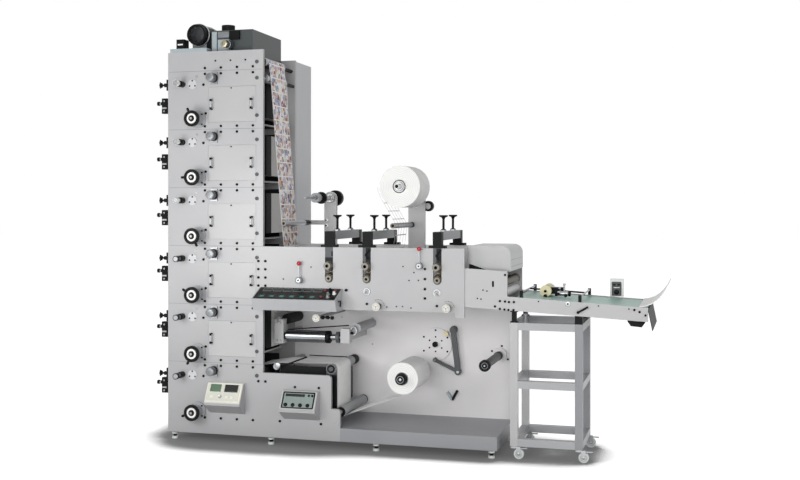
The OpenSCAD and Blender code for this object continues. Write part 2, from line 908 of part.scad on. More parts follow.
module waste_roll() {
    pulley_r = 40;
    front = web_y + web_w / 2 - waste_w / 2 + 30;
    color(paper_white) {
        rod_y(waste_at, waste_r, front, front + waste_w);
        rod_y(waste_at, 44, front - 10, front + waste_w + 20);
        rod_y(waste_at, shaft_r, front - 70, frame_depth + 20);
        rod_y(waste_at, pulley_r, frame_depth + 6, frame_depth + 34);
    }
}

// Desk console on the front, its top falling towards the operator
console_x = die_x0 - 20;
console_z = die_bottom - 4;
module control_console() {
    color(press_grey)
        long(console_x, console_x + console_w)
            polygon([
                [0, console_z], [0, console_z + 142], [-console_d, console_z + 76],
                [-console_d + 26, console_z]
            ]);
}

// Wedge boxes of the unit controller and the tension controller, and the conveyor's switch box
module wedge_box(x0, w, z0, h, d) {
    long(x0, x0 + w)
        polygon([[0, z0], [0, z0 + h], [-0.3 * d, z0 + h], [-d, z0 + 0.4 * h], [-d, z0 + 0.32 * h]]);
}

switch_x = die_x1 + 872;
module control_boxes() {
    color("#c8c1ad")
        wedge_box(318, 260, base_top + 58, 212, 96);
    color(press_grey)
        wedge_box(die_x0 + 152, 254, base_top + 44, 196, 96);
    color(press_grey)
        slab(switch_x, switch_x + 88, frame_depth, frame_depth + rail_t + 30,
            rail_low(switch_x) + rail_h, rail_low(switch_x) + rail_h + 118);
}

// Hubs on the rear wall: the fixed unwind spindle, the clutch flange and the pivots; a lid and a bracket
dancer_pin_r = 14;
clutch_r = 115;
lid_t = 4;
bracket_at = [die_x1 - 212, base_top + 119];
module wall_fittings() {
    bore = shaft_r + run_gap;
    color(dark_grey) {
        rod_y(unwind_at, 46, frame_depth - 30, frame_depth);
        rod_y(unwind_at, shaft_r, 70, frame_depth - 29);
        rod_y(clutch_at, clutch_r, frame_depth - 12, frame_depth);
        rod_y(clutch_at, 19, frame_depth - 34, frame_depth - 11);
        rod_y(dancer_at, 26, frame_depth - 16, frame_depth);
        rod_y(dancer_at, dancer_pin_r, frame_depth - 58, frame_depth - 15);
        difference() {
            rod_y(rewind_at, 48, frame_depth - 24, frame_depth);
            rod_y(rewind_at, bore, frame_depth - 25, frame_depth + 1);
        }
        difference() {
            slab(die_x0 + 346, die_x0 + 609, frame_depth - lid_t, frame_depth,
                guide_z - 104, guide_z + 112);
            slab(guide_arm_x - 2, guide_arm_x + guide_arm_w + 2, frame_depth - lid_t - 1, frame_depth + 1,
                guide_z - guide_arm_w / 2 - 6, guide_z + guide_arm_w / 2 + 6);
            rod_y(feed_top, feed_axle_r + 2, frame_depth - lid_t - 1, frame_depth + 1);
        }
        deep(frame_depth - 30, frame_depth)
            for (run = [[-36, 54], [36, 65]])
                strip(bracket_at, bracket_at + run, 16);
    }
}

module unwind_roll() {
    front = web_y + web_w / 2 - unwind_w / 2;
    color(paper_white)
        difference() {
            union() {
                rod_y(unwind_at, unwind_r, front, front + unwind_w);
                rod_y(unwind_at, 42, front - 12, front + unwind_w + 12);
            }
            rod_y(unwind_at, shaft_r + run_gap, front, frame_depth);
        }
}

// Bent dancer lever with round eyes: a broad bar down from its pivot and a thin bar back to the web
module dancer_arm() {
    knee = dancer_at + [36, -290];
    tip = dancer_at + [-128, -214];
    broad = 36;
    thin = 20;
    eye_edge = 5;
    y0 = frame_depth - 52;
    y1 = frame_depth - 30;
    color(near_black)
        difference() {
            deep(y0, y1) {
                strip(dancer_at, knee, broad);
                strip(knee, tip, thin);
                for (at = [dancer_at, knee])
                    translate(at)
                        circle(broad / 2 + eye_edge);
                translate(tip)
                    circle(thin / 2 + eye_edge);
            }
            rod_y(dancer_at, dancer_pin_r + run_gap, y0 - 1, y1 + 1);
        }
}

// A flat strip of width w from a to b
module strip(a, b, w) {
    run = b - a;
    translate(a)
        rotate(atan2(run[1], run[0]))
            translate([0, -w / 2])
                square([norm(run), w]);
}

// A flat bar of width w with round ends from a to b
module bar(a, b, w) {
    strip(a, b, w);
    for (at = [a, b])
        translate(at)
            circle(w / 2);
}

module rewind_shaft() {
    color(steel) {
        rod_y(rewind_at, shaft_r, frame_depth - 40, frame_depth - 2);
        rod_y(rewind_at, 27, 64, frame_depth - 32);
        rod_y(rewind_at, 37, 50, 78);
    }
}

// Bright guide cylinder along the press between two blocks on arms from the rear wall
guide_z = base_top + 575;
guide_x1 = die_x0 + 488;
guide_arm_x = guide_x1 + 24;
guide_arm_w = 34;
module web_guide() {
    y0 = 190;
    y1 = 250;
    mid = (y0 + y1) / 2;
    x0 = die_x0 + 6;
    color(steel) {
        slab(x0, x0 + 66, y0, y1, guide_z - 52, guide_z + 114);
        slab(guide_x1, guide_x1 + 64, y0, y1, guide_z - 36, guide_z + 62);
        rod_x(mid, guide_z, 42, x0 + 86, x0 + 386);
        rod_x(mid, guide_z, 20, x0 + 65, guide_x1 + 1);
        for (x = [x0 + 20, guide_arm_x])
            slab(x, x + guide_arm_w, y1 - 1, frame_depth, guide_z - 20, guide_z + 20);
    }
}

// Side plates of the cutter and conveyor, with the bed that joins them
module delivery_frame() {
    side = [
        [die_x1, rail_low(die_x1)], [die_x1, rail_low(die_x1) + cutter_h],
        [die_x1 + cutter_len, rail_low(die_x1 + cutter_len) + cutter_h],
        [die_x1 + cutter_len, rail_low(die_x1 + cutter_len) + rail_h],
        [conveyor_x1, rail_low(conveyor_x1) + rail_h], [conveyor_x1, rail_low(conveyor_x1)]
    ];
    bed_t = 8;
    bed_x0 = die_x1 + 40;
    bed_x1 = conveyor_x1 - 60;
    color(press_grey) {
        for (y = [rail_y, frame_depth])
            deep(y, y + rail_t)
                polygon(side);
        deep(rail_y + 1, frame_depth + 1)
            polygon([
                [bed_x0, rail_low(bed_x0)], [bed_x0, rail_low(bed_x0) + bed_t],
                [bed_x1, rail_low(bed_x1) + bed_t], [bed_x1, rail_low(bed_x1)]
            ]);
    }
}

// Blocks on the stand that carry the delivery, their tops along its slope; the left ones have a waist
seat = 0.2;
module support_blocks() {
    half = tube / 2;
    waist = 13;
    flange = 7;
    color(near_black) {
        for (at = [castor_at[1], castor_at[3]])
            deep(at[1] - half, at[1] + half)
                polygon([
                    [at[0] - half, stand_top], [at[0] - half, rail_low(at[0] - half) - seat],
                    [at[0] + half, rail_low(at[0] + half) - seat], [at[0] + half, stand_top]
                ]);
        for (at = [castor_at[0], castor_at[2]]) {
            left = rail_low(at[0] - half) - seat;
            right = rail_low(at[0] + half) - seat;
            deep(at[1] - half, at[1] + half)
                polygon([
                    [at[0] - half, stand_top], [at[0] - half, stand_top + flange],
                    [at[0] - waist, stand_top + flange], [at[0] - waist, left - 2 * flange],
                    [at[0] - half, left - 2 * flange], [at[0] - half, left], [at[0] + half, right],
                    [at[0] + half, left - 2 * flange], [at[0] + waist, left - 2 * flange],
                    [at[0] + waist, stand_top + flange], [at[0] + half, stand_top + flange],
                    [at[0] + half, stand_top]
                ]);
        }
    }
}

// Gear motor of the belt, hung under the bed at the delivery end
module belt_motor() {
    x0 = conveyor_x1 - 128;
    x1 = conveyor_x1 - 21;
    y0 = 70;
    y1 = 250;
    drop = 42;
    taper = 20;
    color(near_black)
        deep(y0, y1)
            polygon([
                [x0, rail_low(x0) - drop / 3], [x0, rail_low(x0) - seat],
                [x1, rail_low(x1) - seat], [x1, rail_low(x1) - drop / 3],
                [x1 - taper, rail_low(x1) - drop], [x0 + taper, rail_low(x0) - drop]
            ]);
}

// Rounded hood over the cutter, open below, its front edge slanting up to the die section
module cutter_hood() {
    x0 = die_x1 + 4;
    x1 = die_x1 + cutter_len + 6;
    top = die_top + 14;
    low = rail_low(die_x1 + cutter_len) + cutter_h - 6;
    y0 = 104;
    bend = 58;
    notch_w = 146;
    notch_h = 50;
    color(pale_grey)
        difference() {
            deep(y0, frame_depth)
                round_corner(x0, x1, low, top, bend);
            deep(y0 + sheet_t, frame_depth - sheet_t)
                round_corner(x0 + sheet_t, x1 - sheet_t, low - 1, top - sheet_t, bend - sheet_t);
            deep(y0 - 1, y0 + sheet_t + 1)
                polygon([[x0 - 1, low - 1], [x0 - 1, low + notch_h], [x0 + notch_w, low - 1]]);
        }
}

module conveyor_belt() {
    run = belt_x1 - belt_x0;
    color("#7f9c92")
        translate([belt_x0, 0, belt_axis(belt_x0)])
            rotate([0, delivery_tilt, 0])
                deep(belt_y0, belt_y1)
                    difference() {
                        bar([0, 0], [run / cos(delivery_tilt), 0], 2 * (belt_r + belt_t));
                        bar([0, 0], [run / cos(delivery_tilt), 0], 2 * belt_r);
                    }
}

// Cross bars on clamps over the belt, joined by a rod that carries the wheel bracket
bar_x = [die_x1 + 366, die_x1 + 735];
bar_lift = 34;
hold_x = die_x1 + 485;
hold_y = [262, 440];
wheel_lift = 38;
hold_z = rail_low(hold_x) + rail_h - belt_drop + wheel_lift;
module hold_down_bars() {
    rod_r = 6;
    clamp = 10;
    mid = (hold_y[0] + hold_y[1]) / 2;
    color(near_black) {
        for (x = bar_x) {
            z = rail_low(x) + rail_h + bar_lift;
            rod_y([x, z], rod_r, rail_y, frame_depth + rail_t);
            for (y = [rail_y, frame_depth])
                deep(y, y + rail_t)
                    polygon([
                        [x - clamp, rail_low(x - clamp) + rail_h + seat], [x - clamp, z + clamp],
                        [x + clamp, z + clamp], [x + clamp, rail_low(x + clamp) + rail_h + seat]
                    ]);
        }
        translate([bar_x[0], mid, rail_low(bar_x[0]) + rail_h + bar_lift])
            rotate([0, 90 + delivery_tilt, 0])
                cylinder(r = rod_r, h = (bar_x[1] - bar_x[0]) / cos(delivery_tilt));
        slab(hold_x - 18, hold_x + 110, mid - 28, mid + 28, hold_z - 22, hold_z + 22);
        rod_y([hold_x, hold_z], 9, hold_y[0] - 14, hold_y[1] + 44);
    }
}

module hold_down_wheels() {
    wheel_w = 30;
    color("#d9d3bd")
        for (y = hold_y)
            difference() {
                rod_y([hold_x, hold_z], wheel_lift - skin_gap, y, y + wheel_w);
                rod_y([hold_x, hold_z], 9 + run_gap, y - 1, y + wheel_w + 1);
            }
}

// Bent stacking sheet that rises past the conveyor's end, and the apron on the rails' ends
module stacking_sheet() {
    start = conveyor_x1 - 50;
    reach = reach_x1 - start;
    z0 = rail_low(start) + rail_h + seat;
    rise = 140;
    t = sheet_t;
    last = 60;
    apron_h = 145;
    apron_swing = 25;
    arc = [for (a = [0 : 10 : last]) [reach * sin(a) / sin(last), rise * (1 - cos(a)) / (1 - cos(last))]];
    color(paper_white) {
        deep(rail_y, frame_depth + rail_t)
            polygon(concat(
                [for (p = arc) [start + p[0], z0 + p[1]]],
                [for (i = [len(arc) - 1 : -1 : 0]) [start + arc[i][0] - t, z0 + arc[i][1] + t]]
            ));
        deep(rail_y, frame_depth)
            polygon([
                [conveyor_x1, z0 - 14], [conveyor_x1, z0 - 24], [conveyor_x1 + apron_swing, z0 - apron_h],
                [conveyor_x1 + apron_swing + t, z0 - apron_h], [conveyor_x1 + t, z0 - 24],
                [conveyor_x1 + t, z0 - 14]
            ]);
    }
}

module stand_posts() {
    color(steel)
        for (at = castor_at)
            slab(at[0] - tube / 2, at[0] + tube / 2, at[1] - tube / 2, at[1] + tube / 2,
                castor_h, stand_top);
}

rail_levels = [castor_h, castor_h + 370, stand_top - tube];
module stand_rails() {
    color(steel)
        for (z = rail_levels) {
            for (at = [castor_at[0], castor_at[2]])
                slab(at[0] + tube / 2, at[0] - 1.5 * tube + stand_w,
                    at[1] - tube / 2, at[1] + tube / 2, z, z + tube);
            for (at = [castor_at[0], castor_at[1]])
                slab(at[0] - tube / 2, at[0] + tube / 2,
                    at[1] + tube / 2, at[1] - 1.5 * tube + stand_d, z, z + tube);
        }
}

// Swivel castor: round head and fork around the wheel, which trails behind the swivel axis
trail = 30;
module castor(at) {
    head_r = 21;
    head_t = 5;
    fork_t = 3;
    tread = 24;
    gap = 1;
    x = at[0] + trail;
    half = tread / 2 + gap;
    top = castor_h - head_t;
    color(dark_grey) {
        rod_z(at[0], at[1], head_r, top, castor_h - skin_gap);
        slab(at[0] - 20, x + 12, at[1] - half - fork_t, at[1] + half + fork_t, 2 * castor_r + 3, top + 1);
        for (side = [-1, 1])
            translate([0, at[1] + side * (half + fork_t / 2), 0])
                slab(x - 14, x + 12, -fork_t / 2, fork_t / 2, castor_r - 8, top);
        rod_y([x, castor_r], 5, at[1] - half - 1, at[1] + half + 1);
        slab(x + 11, x + castor_r + 22, at[1] - half, at[1] + half, 2 * castor_r + 3, 2 * castor_r + 8);
    }
    color(paper_white)
        difference() {
            rod_y([x, castor_r], castor_r, at[1] - tread / 2, at[1] + tread / 2);
            rod_y([x, castor_r], 5 + run_gap, at[1] - tread, at[1] + tread);
        }
}

placed() tower_front_plate();
placed() tower_rear_plate();
placed() unit_covers();
placed() cover_handles();
for (k = [0 : units - 1])
    placed() handwheel(k, pin_angles[k]);
placed() handwheel_housings();
placed() adjusting_knobs();
placed() edge_screws();
placed() unit_decks();
placed() print_cylinders();
placed() inking_rollers();
placed() ink_trays();
placed() web_dryers();
placed() gear_cover();
placed() drying_hood();
placed() blower();
placed() idler_rollers();
placed() printed_web();
placed() feed_web();
placed() base_bed();
placed() levelling_feet();
placed() rear_wall();
placed() lower_front_plate();
placed() die_front_plate();
placed() die_cylinders();
placed() bridge_blocks();
placed() bridge_beams();
placed() pressure_screws();
for (i = [0, 1])
    placed() ball_lever(lever_at[i]);
placed() rewind_posts();
placed() rewind_mandrel();
placed() waste_roll();
placed() control_console();
placed() control_boxes();
placed() wall_fittings();
placed() unwind_roll();
placed() dancer_arm();
placed() rewind_shaft();
placed() web_guide();
placed() delivery_frame();
placed() cutter_hood();
placed() conveyor_belt();
placed() belt_motor();
placed() hold_down_bars();
placed() hold_down_wheels();
placed() stacking_sheet();
placed() support_blocks();
placed() stand_posts();
placed() stand_rails();
for (i = [0 : 3])
    placed() castor(castor_at[i]);
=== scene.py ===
import math

import bpy
import numpy as np
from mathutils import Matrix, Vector


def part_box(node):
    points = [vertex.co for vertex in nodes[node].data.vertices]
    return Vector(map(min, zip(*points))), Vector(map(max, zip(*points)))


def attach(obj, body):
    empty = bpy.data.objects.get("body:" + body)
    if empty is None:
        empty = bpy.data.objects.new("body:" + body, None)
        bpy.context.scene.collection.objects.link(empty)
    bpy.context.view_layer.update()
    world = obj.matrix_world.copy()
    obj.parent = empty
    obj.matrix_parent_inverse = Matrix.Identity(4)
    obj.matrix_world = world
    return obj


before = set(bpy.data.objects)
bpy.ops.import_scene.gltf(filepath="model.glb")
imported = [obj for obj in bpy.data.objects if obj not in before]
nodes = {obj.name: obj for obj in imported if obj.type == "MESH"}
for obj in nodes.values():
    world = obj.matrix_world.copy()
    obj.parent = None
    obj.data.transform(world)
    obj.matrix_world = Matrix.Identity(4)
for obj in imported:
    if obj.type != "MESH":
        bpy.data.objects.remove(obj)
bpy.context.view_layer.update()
scene = bpy.context.scene
print("frame loaded with", len(nodes), "nodes")

# every place below is in millimetres from the tower's left front corner on the floor
cornerPoint = np.array([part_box("tower_rear_plate")[0][0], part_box("base_bed")[0][1], 0.0])


def boxOf(node):
    # a node's lowest and highest corner in those millimetres
    low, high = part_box(node)
    return (np.array(low) - cornerPoint) * 1000, (np.array(high) - cornerPoint) * 1000


# camera: level, so uprights stay upright, with the horizon lifted by the shift
viewpoint = {"place": (3582, -6849, 1625), "turn": 15.6, "lens": 49.05, "horizonUp": 35, "imageWidth": 800}
cameraData = bpy.data.cameras.new("pressCamera")
cameraData.lens = viewpoint["lens"]
cameraData.sensor_width = 36
cameraData.shift_y = -viewpoint["horizonUp"] / viewpoint["imageWidth"]
cameraData.clip_end = 200
cameraObject = bpy.data.objects.new("pressCamera", cameraData)
cameraObject.location = cornerPoint + np.array(viewpoint["place"]) / 1000
cameraObject.rotation_euler = (math.radians(90), 0, math.radians(viewpoint["turn"]))
scene.collection.objects.link(cameraObject)
scene.camera = cameraObject
scene.view_settings.view_transform = "Standard"
print("camera set")


# surfaces: a shape is (points, faces), points in millimetres and faces a list of index arrays
def skin(rings, loop=False):
    # quads between neighbouring closed rings of points; flat ends close the first and last ring
    rows, across = rings.shape[:2]
    i, j = np.meshgrid(np.arange(rows if loop else rows - 1), np.arange(across), indexing="ij")
    a, b = i * across + j, i * across + (j + 1) % across
    c, d = ((i + 1) % rows) * across + (j + 1) % across, ((i + 1) % rows) * across + j
    faces = [np.stack([a, b, c, d], -1).reshape(-1, 4)]
    if not loop:
        faces += [np.arange(across)[None, ::-1], (rows - 1) * across + np.arange(across)[None]]
    return rings.reshape(-1, 3), faces


def turned(profile, sides, loop=False):
    # a profile of radius r and height h, turned about z: x = r cos a, y = r sin a, z = h
    r, h = np.array(profile, float).T
    a = np.linspace(0, 2 * np.pi, sides, endpoint=False)
    rings = np.stack(np.broadcast_arrays(r[:, None] * np.cos(a), r[:, None] * np.sin(a), h[:, None]), -1)
    return skin(rings, loop)


def plate(width, height, corner, steps, arc=5):
    # a rectangle with round corners, once for each (inset, level) step: straight sides joined by quarter circles;
    # a single number for the steps is a plain thickness
    inset, level = np.array([(0, 0), (0, steps)] if np.isscalar(steps) else steps, float).T
    a = np.linspace(0, np.pi / 2, arc)
    angle = np.concatenate([a + k * np.pi / 2 for k in range(4)])
    signX = np.repeat([1, -1, -1, 1], arc)
    signY = np.repeat([1, 1, -1, -1], arc)
    radius = np.maximum(corner - inset, 0.02)[:, None]
    x = signX * (width / 2 - inset[:, None] - radius) + radius * np.cos(angle)
    y = signY * (height / 2 - inset[:, None] - radius) + radius * np.sin(angle)
    return skin(np.stack(np.broadcast_arrays(x, y, level[:, None]), -1))


def smoothPath(points, count):
    # a curve through the points: between two of them a cubic whose slopes lie along their neighbours
    p = np.array(points, float)
    p = np.concatenate([[2 * p[0] - p[1]], p, [2 * p[-1] - p[-2]]])
    t = np.linspace(0, len(points) - 1, count)
    k = np.minimum(t.astype(int), len(points) - 2)
    f = (t - k)[:, None]
    a, b, c, d = p[k], p[k + 1], p[k + 2], p[k + 3]
    return b + 0.5 * f * (c - a + f * (2 * a - 5 * b + 4 * c - d + f * (3 * (b - c) + d - a)))


# how a shape that stands up along z is turned to stand out of a face
facings = {
    "up": np.eye(3),
    "front": np.array([[1, 0, 0], [0, 0, -1], [0, 1, 0]]),
    "rear": np.array([[-1, 0, 0], [0, 0, 1], [0, 1, 0]]),
    "right": np.array([[0, 0, 1], [1, 0, 0], [0, 1, 0]]),
    "left": np.array([[0, 0, -1], [-1, 0, 0], [0, 1, 0]]),
}


def tilted(degrees):
    # the front facing, leaned back from the upright by some degrees
    a = math.radians(degrees)
    lean = np.array([[1, 0, 0], [0, math.cos(a), math.sin(a)], [0, -math.sin(a), math.cos(a)]])
    return lean @ facings["front"]


def copies(shape, places, facing="front", spin=0.0):
    # the same shape at every place, turned about its own axis by spin degrees and then to its facing
    points, faces = shape
    places = np.atleast_2d(np.array(places, float))
    turn = facings[facing] if isinstance(facing, str) else facing
    s = math.radians(spin)
    about = np.array([[math.cos(s), -math.sin(s), 0], [math.sin(s), math.cos(s), 0], [0, 0, 1]])
    points = points @ about.T @ turn.T
    shift = np.arange(len(places))[:, None, None] * len(points)
    many = (places[:, None] + points).reshape(-1, 3)
    return many, [(shift + f).reshape(-1, f.shape[1]) for f in faces]


def grid(*axes):
    # every combination of the given coordinates, one row each
    return np.stack(np.meshgrid(*axes, indexing="ij"), -1).reshape(-1, len(axes))


def onFace(points, y):
    # places on an upright face from their x and z
    x, z = np.array(points, float).T
    return np.stack([x, np.full(len(x), float(y)), z], -1)


def aroundRing(centre, radius, count, first=90.0):
    # places on a circle in the upright plane: x from the cosine, z from the sine
    a = np.radians(first + np.arange(count) * 360 / count)
    return np.stack([centre[0] + radius * np.cos(a), np.full(count, centre[1]), centre[2] + radius * np.sin(a)], -1)


# the following give a (shape, finish) pair, as addPiece takes them
def plateAt(width, height, corner, steps, places, finish, facing="front", arc=5):
    return copies(plate(width, height, corner, steps, arc), places, facing), finish


def turnedAt(profile, sides, places, finish, facing="front"):
    return copies(turned(profile, sides), places, facing), finish


def discAt(radius, thick, sides, places, finish, facing="front"):
    return turnedAt([(radius, 0), (radius, thick)], sides, places, finish, facing)


def ringAt(inner, outer, thick, sides, places, finish, facing="front"):
    # a flat ring: a rectangle with broken edges turned about its axis
    e = min(thick, outer - inner) * 0.2
    profile = [(inner, 0), (outer, 0), (outer, thick - e), (outer - e, thick), (inner + e, thick), (inner, thick - e)]
    return copies(turned(profile, sides, loop=True), places, facing), finish


def screwsAt(radius, height, places, finish):
    # socket head screws: a turned head with a broken edge and a sunk socket
    steps = [(1.0, 0.0), (1.0, 0.8), (0.9, 1.0), (0.52, 1.0), (0.5, 0.4)]
    return turnedAt([(radius * r, height * h) for r, h in steps], 14, places, finish)


def rod(path, radius, finish, across=(0, 1, 0), sides=10):
    # a circle carried along the path, square to it; across is a direction that the path never takes
    path = np.array(path, float)
    along = np.gradient(path, axis=0)
    along /= np.linalg.norm(along, axis=1)[:, None]
    side = np.cross(along, across)
    side /= np.linalg.norm(side, axis=1)[:, None]
    up = np.cross(side, along)
    a = np.linspace(0, -2 * np.pi, sides, endpoint=False)[:, None]
    radius = np.broadcast_to(np.asarray(radius, float), len(path))[:, None, None]
    return skin(path[:, None] + radius * (np.cos(a) * side[:, None] + np.sin(a) * up[:, None])), finish


def addPiece(name, shapes, body="press"):
    # one mesh of several (shape, finish) pairs, in metres in the frame, riding on a body
    mesh = bpy.data.meshes.new(name)
    points = np.concatenate([shape[0] for shape, _ in shapes])
    start = np.cumsum([0] + [len(shape[0]) for shape, _ in shapes])
    slots = list(dict.fromkeys(finish for _, finish in shapes))
    parts = [(f + start[n], slots.index(m)) for n, (s, m) in enumerate(shapes) for f in s[1]]
    counts = np.concatenate([np.full(len(f), f.shape[1]) for f, _ in parts])
    loops = np.concatenate([f.ravel() for f, _ in parts])
    slotOfFace = np.concatenate([np.full(len(f), m) for f, m in parts])
    mesh.vertices.add(len(points))
    mesh.vertices.foreach_set("co", (points / 1000 + cornerPoint).astype(np.float32).ravel())
    mesh.loops.add(len(loops))
    mesh.loops.foreach_set("vertex_index", loops.astype(np.int32))
    mesh.polygons.add(len(counts))
    mesh.polygons.foreach_set("loop_start", (np.cumsum(counts) - counts).astype(np.int32))
    mesh.polygons.foreach_set("material_index", slotOfFace.astype(np.int32))
    mesh.polygons.foreach_set("use_smooth", np.ones(len(counts), bool))
    mesh.update(calc_edges=True)
    mesh.validate()
    mesh.set_sharp_from_angle(angle=math.radians(38))
    for finish in slots:
        mesh.materials.append(finish)
    piece = bpy.data.objects.new(name, mesh)
    scene.collection.objects.link(piece)
    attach(piece, body)


def paintFaces(node, finish, test):
    # gives a further finish to the faces of a node that pass a test of their middle x, y, z and normal nx, ny, nz
    part = nodes[node]
    mesh = part.data
    count = len(mesh.polygons)
    middle, normal = np.empty((2, count * 3), np.float32)
    index = np.empty(count, np.int32)
    mesh.polygons.foreach_get("center", middle)
    mesh.polygons.foreach_get("normal", normal)
    mesh.polygons.foreach_get("material_index", index)
    turn = np.array(part.matrix_world)
    middle = middle.reshape(-1, 3) @ turn[:3, :3].T + turn[:3, 3]
    normal = normal.reshape(-1, 3) @ turn[:3, :3].T
    faces = np.rec.fromarrays([*((middle - cornerPoint) * 1000).T, *normal.T], names="x,y,z,nx,ny,nz")
    mesh.materials.append(finish)
    index[test(faces)] = len(mesh.materials) - 1
    mesh.polygons.foreach_set("material_index", index)
    mesh.update()


# materials
def linear(hexColour, times=1.0):
    # an sRGB hex value as linear light, some times as bright
    c = np.array([int(hexColour[i : i + 2], 16) for i in (1, 3, 5)]) / 255
    c = np.where(c <= 0.04045, c / 12.92, ((c + 0.055) / 1.055) ** 2.4)
    return (*np.minimum(c * times, 1).tolist(), 1.0)


def setInputs(tree, node, inputs):
    # each input gets a value or the socket that feeds it
    for key, value in inputs.items():
        if isinstance(value, bpy.types.NodeSocket):
            tree.links.new(value, node.inputs[key])
        else:
            node.inputs[key].default_value = value


def addNode(tree, kind, inputs=None, **settings):
    # a shader node with its settings and inputs
    node = tree.nodes.new("ShaderNode" + kind)
    for key, value in settings.items():
        setattr(node, key, value)
    setInputs(tree, node, inputs or {})
    return node


def noise(tree, place, scale, detail):
    return addNode(tree, "TexNoise", {"Vector": place, "Scale": scale, "Detail": detail}).outputs["Fac"]


def colourRamp(tree, factor, stops, interpolation="LINEAR"):
    # a ramp through (position, linear colour) stops
    node = addNode(tree, "ValToRGB", {"Fac": factor})
    node.color_ramp.interpolation = interpolation
    elements = node.color_ramp.elements
    for element, (position, colour) in zip(list(elements), (stops[0], stops[-1])):
        element.position, element.color = position, colour
    for position, colour in stops[1:-1]:
        elements.new(position).color = colour
    return node.outputs["Color"]


def spread(tree, value, low, high):
    # a value of 0 to 1 carried over to low to high
    return addNode(tree, "MapRange", {"Value": value, "To Min": low, "To Max": high}).outputs["Result"]


def bumped(tree, height, strength, distance=0.0003):
    return addNode(tree, "Bump", {"Strength": strength, "Distance": distance, "Height": height}).outputs["Normal"]


def newMaterial(name):
    # an empty material with its shader, its tree and the coordinates in metres
    material = bpy.data.materials.new(name)
    material.use_nodes = True
    tree = material.node_tree
    shader = tree.nodes["Principled BSDF"]
    return material, tree, shader, addNode(tree, "TexCoord").outputs["Object"]


def enamel(name, colour, shade, rough, peel=2.5, shine=0.5, low=1.0):
    # sprayed and baked enamel: even colour, a soft sheen and a fine orange peel of some millimetres;
    # cloudy changes of shade half a metre across, and roughness that wanders a little; low under 1 paints shade on
    # plates, darker towards the floor: the colour times a share that grows to 1 at 1.1 m
    material, tree, shader, place = newMaterial(name)
    cloud = noise(tree, place, 2.2, 3.0)
    tone = colourRamp(tree, cloud, [(0.3, linear(shade)), (0.7, linear(colour))])
    if low < 1:
        height = addNode(tree, "SeparateXYZ", {"Vector": place}).outputs["Z"]
        share = addNode(tree, "MapRange", {"Value": height, "From Max": 1.1, "To Min": low}).outputs["Result"]
        tone = addNode(tree, "VectorMath", {0: tone, "Scale": share}, operation="SCALE").outputs["Vector"]
    setInputs(tree, shader, {
        "Base Color": tone, "Roughness": spread(tree, cloud, rough - 0.05, rough + 0.05), "IOR": 1.5,
        "Specular IOR Level": shine, "Normal": bumped(tree, noise(tree, place, 1000 / peel, 2.0), 0.06, 0.0004),
    })
    return material


def cutSteel(name, colour, rough, stretch=(1, 1, 1), spacing=1.2, strength=0.12, metal=1.0):
    # ground or turned metal: fine tool lines some tenths of a millimetre apart, drawn coarser so that they show,
    # running along the axis that stretch leaves short
    material, tree, shader, place = newMaterial(name)
    mapped = addNode(tree, "Mapping", {"Vector": place, "Scale": stretch}).outputs["Vector"]
    lines = noise(tree, mapped, 1000 / spacing, 3.0)
    setInputs(tree, shader, {
        "Base Color": colourRamp(tree, lines, [(0.25, linear(colour, 0.82)), (0.75, linear(colour))]),
        "Roughness": spread(tree, lines, rough - 0.06, rough + 0.08), "Metallic": metal,
        "Normal": bumped(tree, lines, strength),
    })
    return material


def moulded(name, colour, rough, grit=1.2, strength=0.1, ior=1.5, shine=0.5):
    # moulded plastic, rubber or phenolic: a fine spark-eroded grain of about a millimetre that softens the gloss;
    # a shine under a half is for oiled or blackened skins, which give back less light
    material, tree, shader, place = newMaterial(name)
    patch = noise(tree, place, 12.0, 2.0)
    setInputs(tree, shader, {
        "Base Color": colourRamp(tree, patch, [(0.0, linear(colour, 0.86)), (1.0, linear(colour, 1.1))]),
        "Roughness": rough, "IOR": ior, "Specular IOR Level": shine,
        "Normal": bumped(tree, noise(tree, place, 1000 / grit, 2.0), strength),
    })
    return material


def woundPaper(name, centre):
    # the end of a paper roll: rings about its axis, a tenth of a millimetre apart in truth and drawn some
    # millimetres apart so that they show, in two whites
    material, tree, shader, place = newMaterial(name)
    middle = (cornerPoint + np.array(centre) / 1000) * (-1, 0, -1)
    centred = addNode(tree, "Mapping", {"Vector": place, "Location": tuple(middle), "Scale": (1, 0, 1)})
    rings = addNode(
        tree, "TexWave",
        {"Vector": centred.outputs["Vector"], "Scale": 28.0, "Distortion": 1.5, "Detail": 2.0, "Detail Scale": 3.0},
        wave_type="RINGS", rings_direction="Y",
    )
    tone = colourRamp(tree, rings.outputs["Fac"], [(0.0, linear("#e6e6e3")), (1.0, linear("#f6f6f4"))])
    setInputs(tree, shader, {"Base Color": tone, "Roughness": 0.8})
    return material


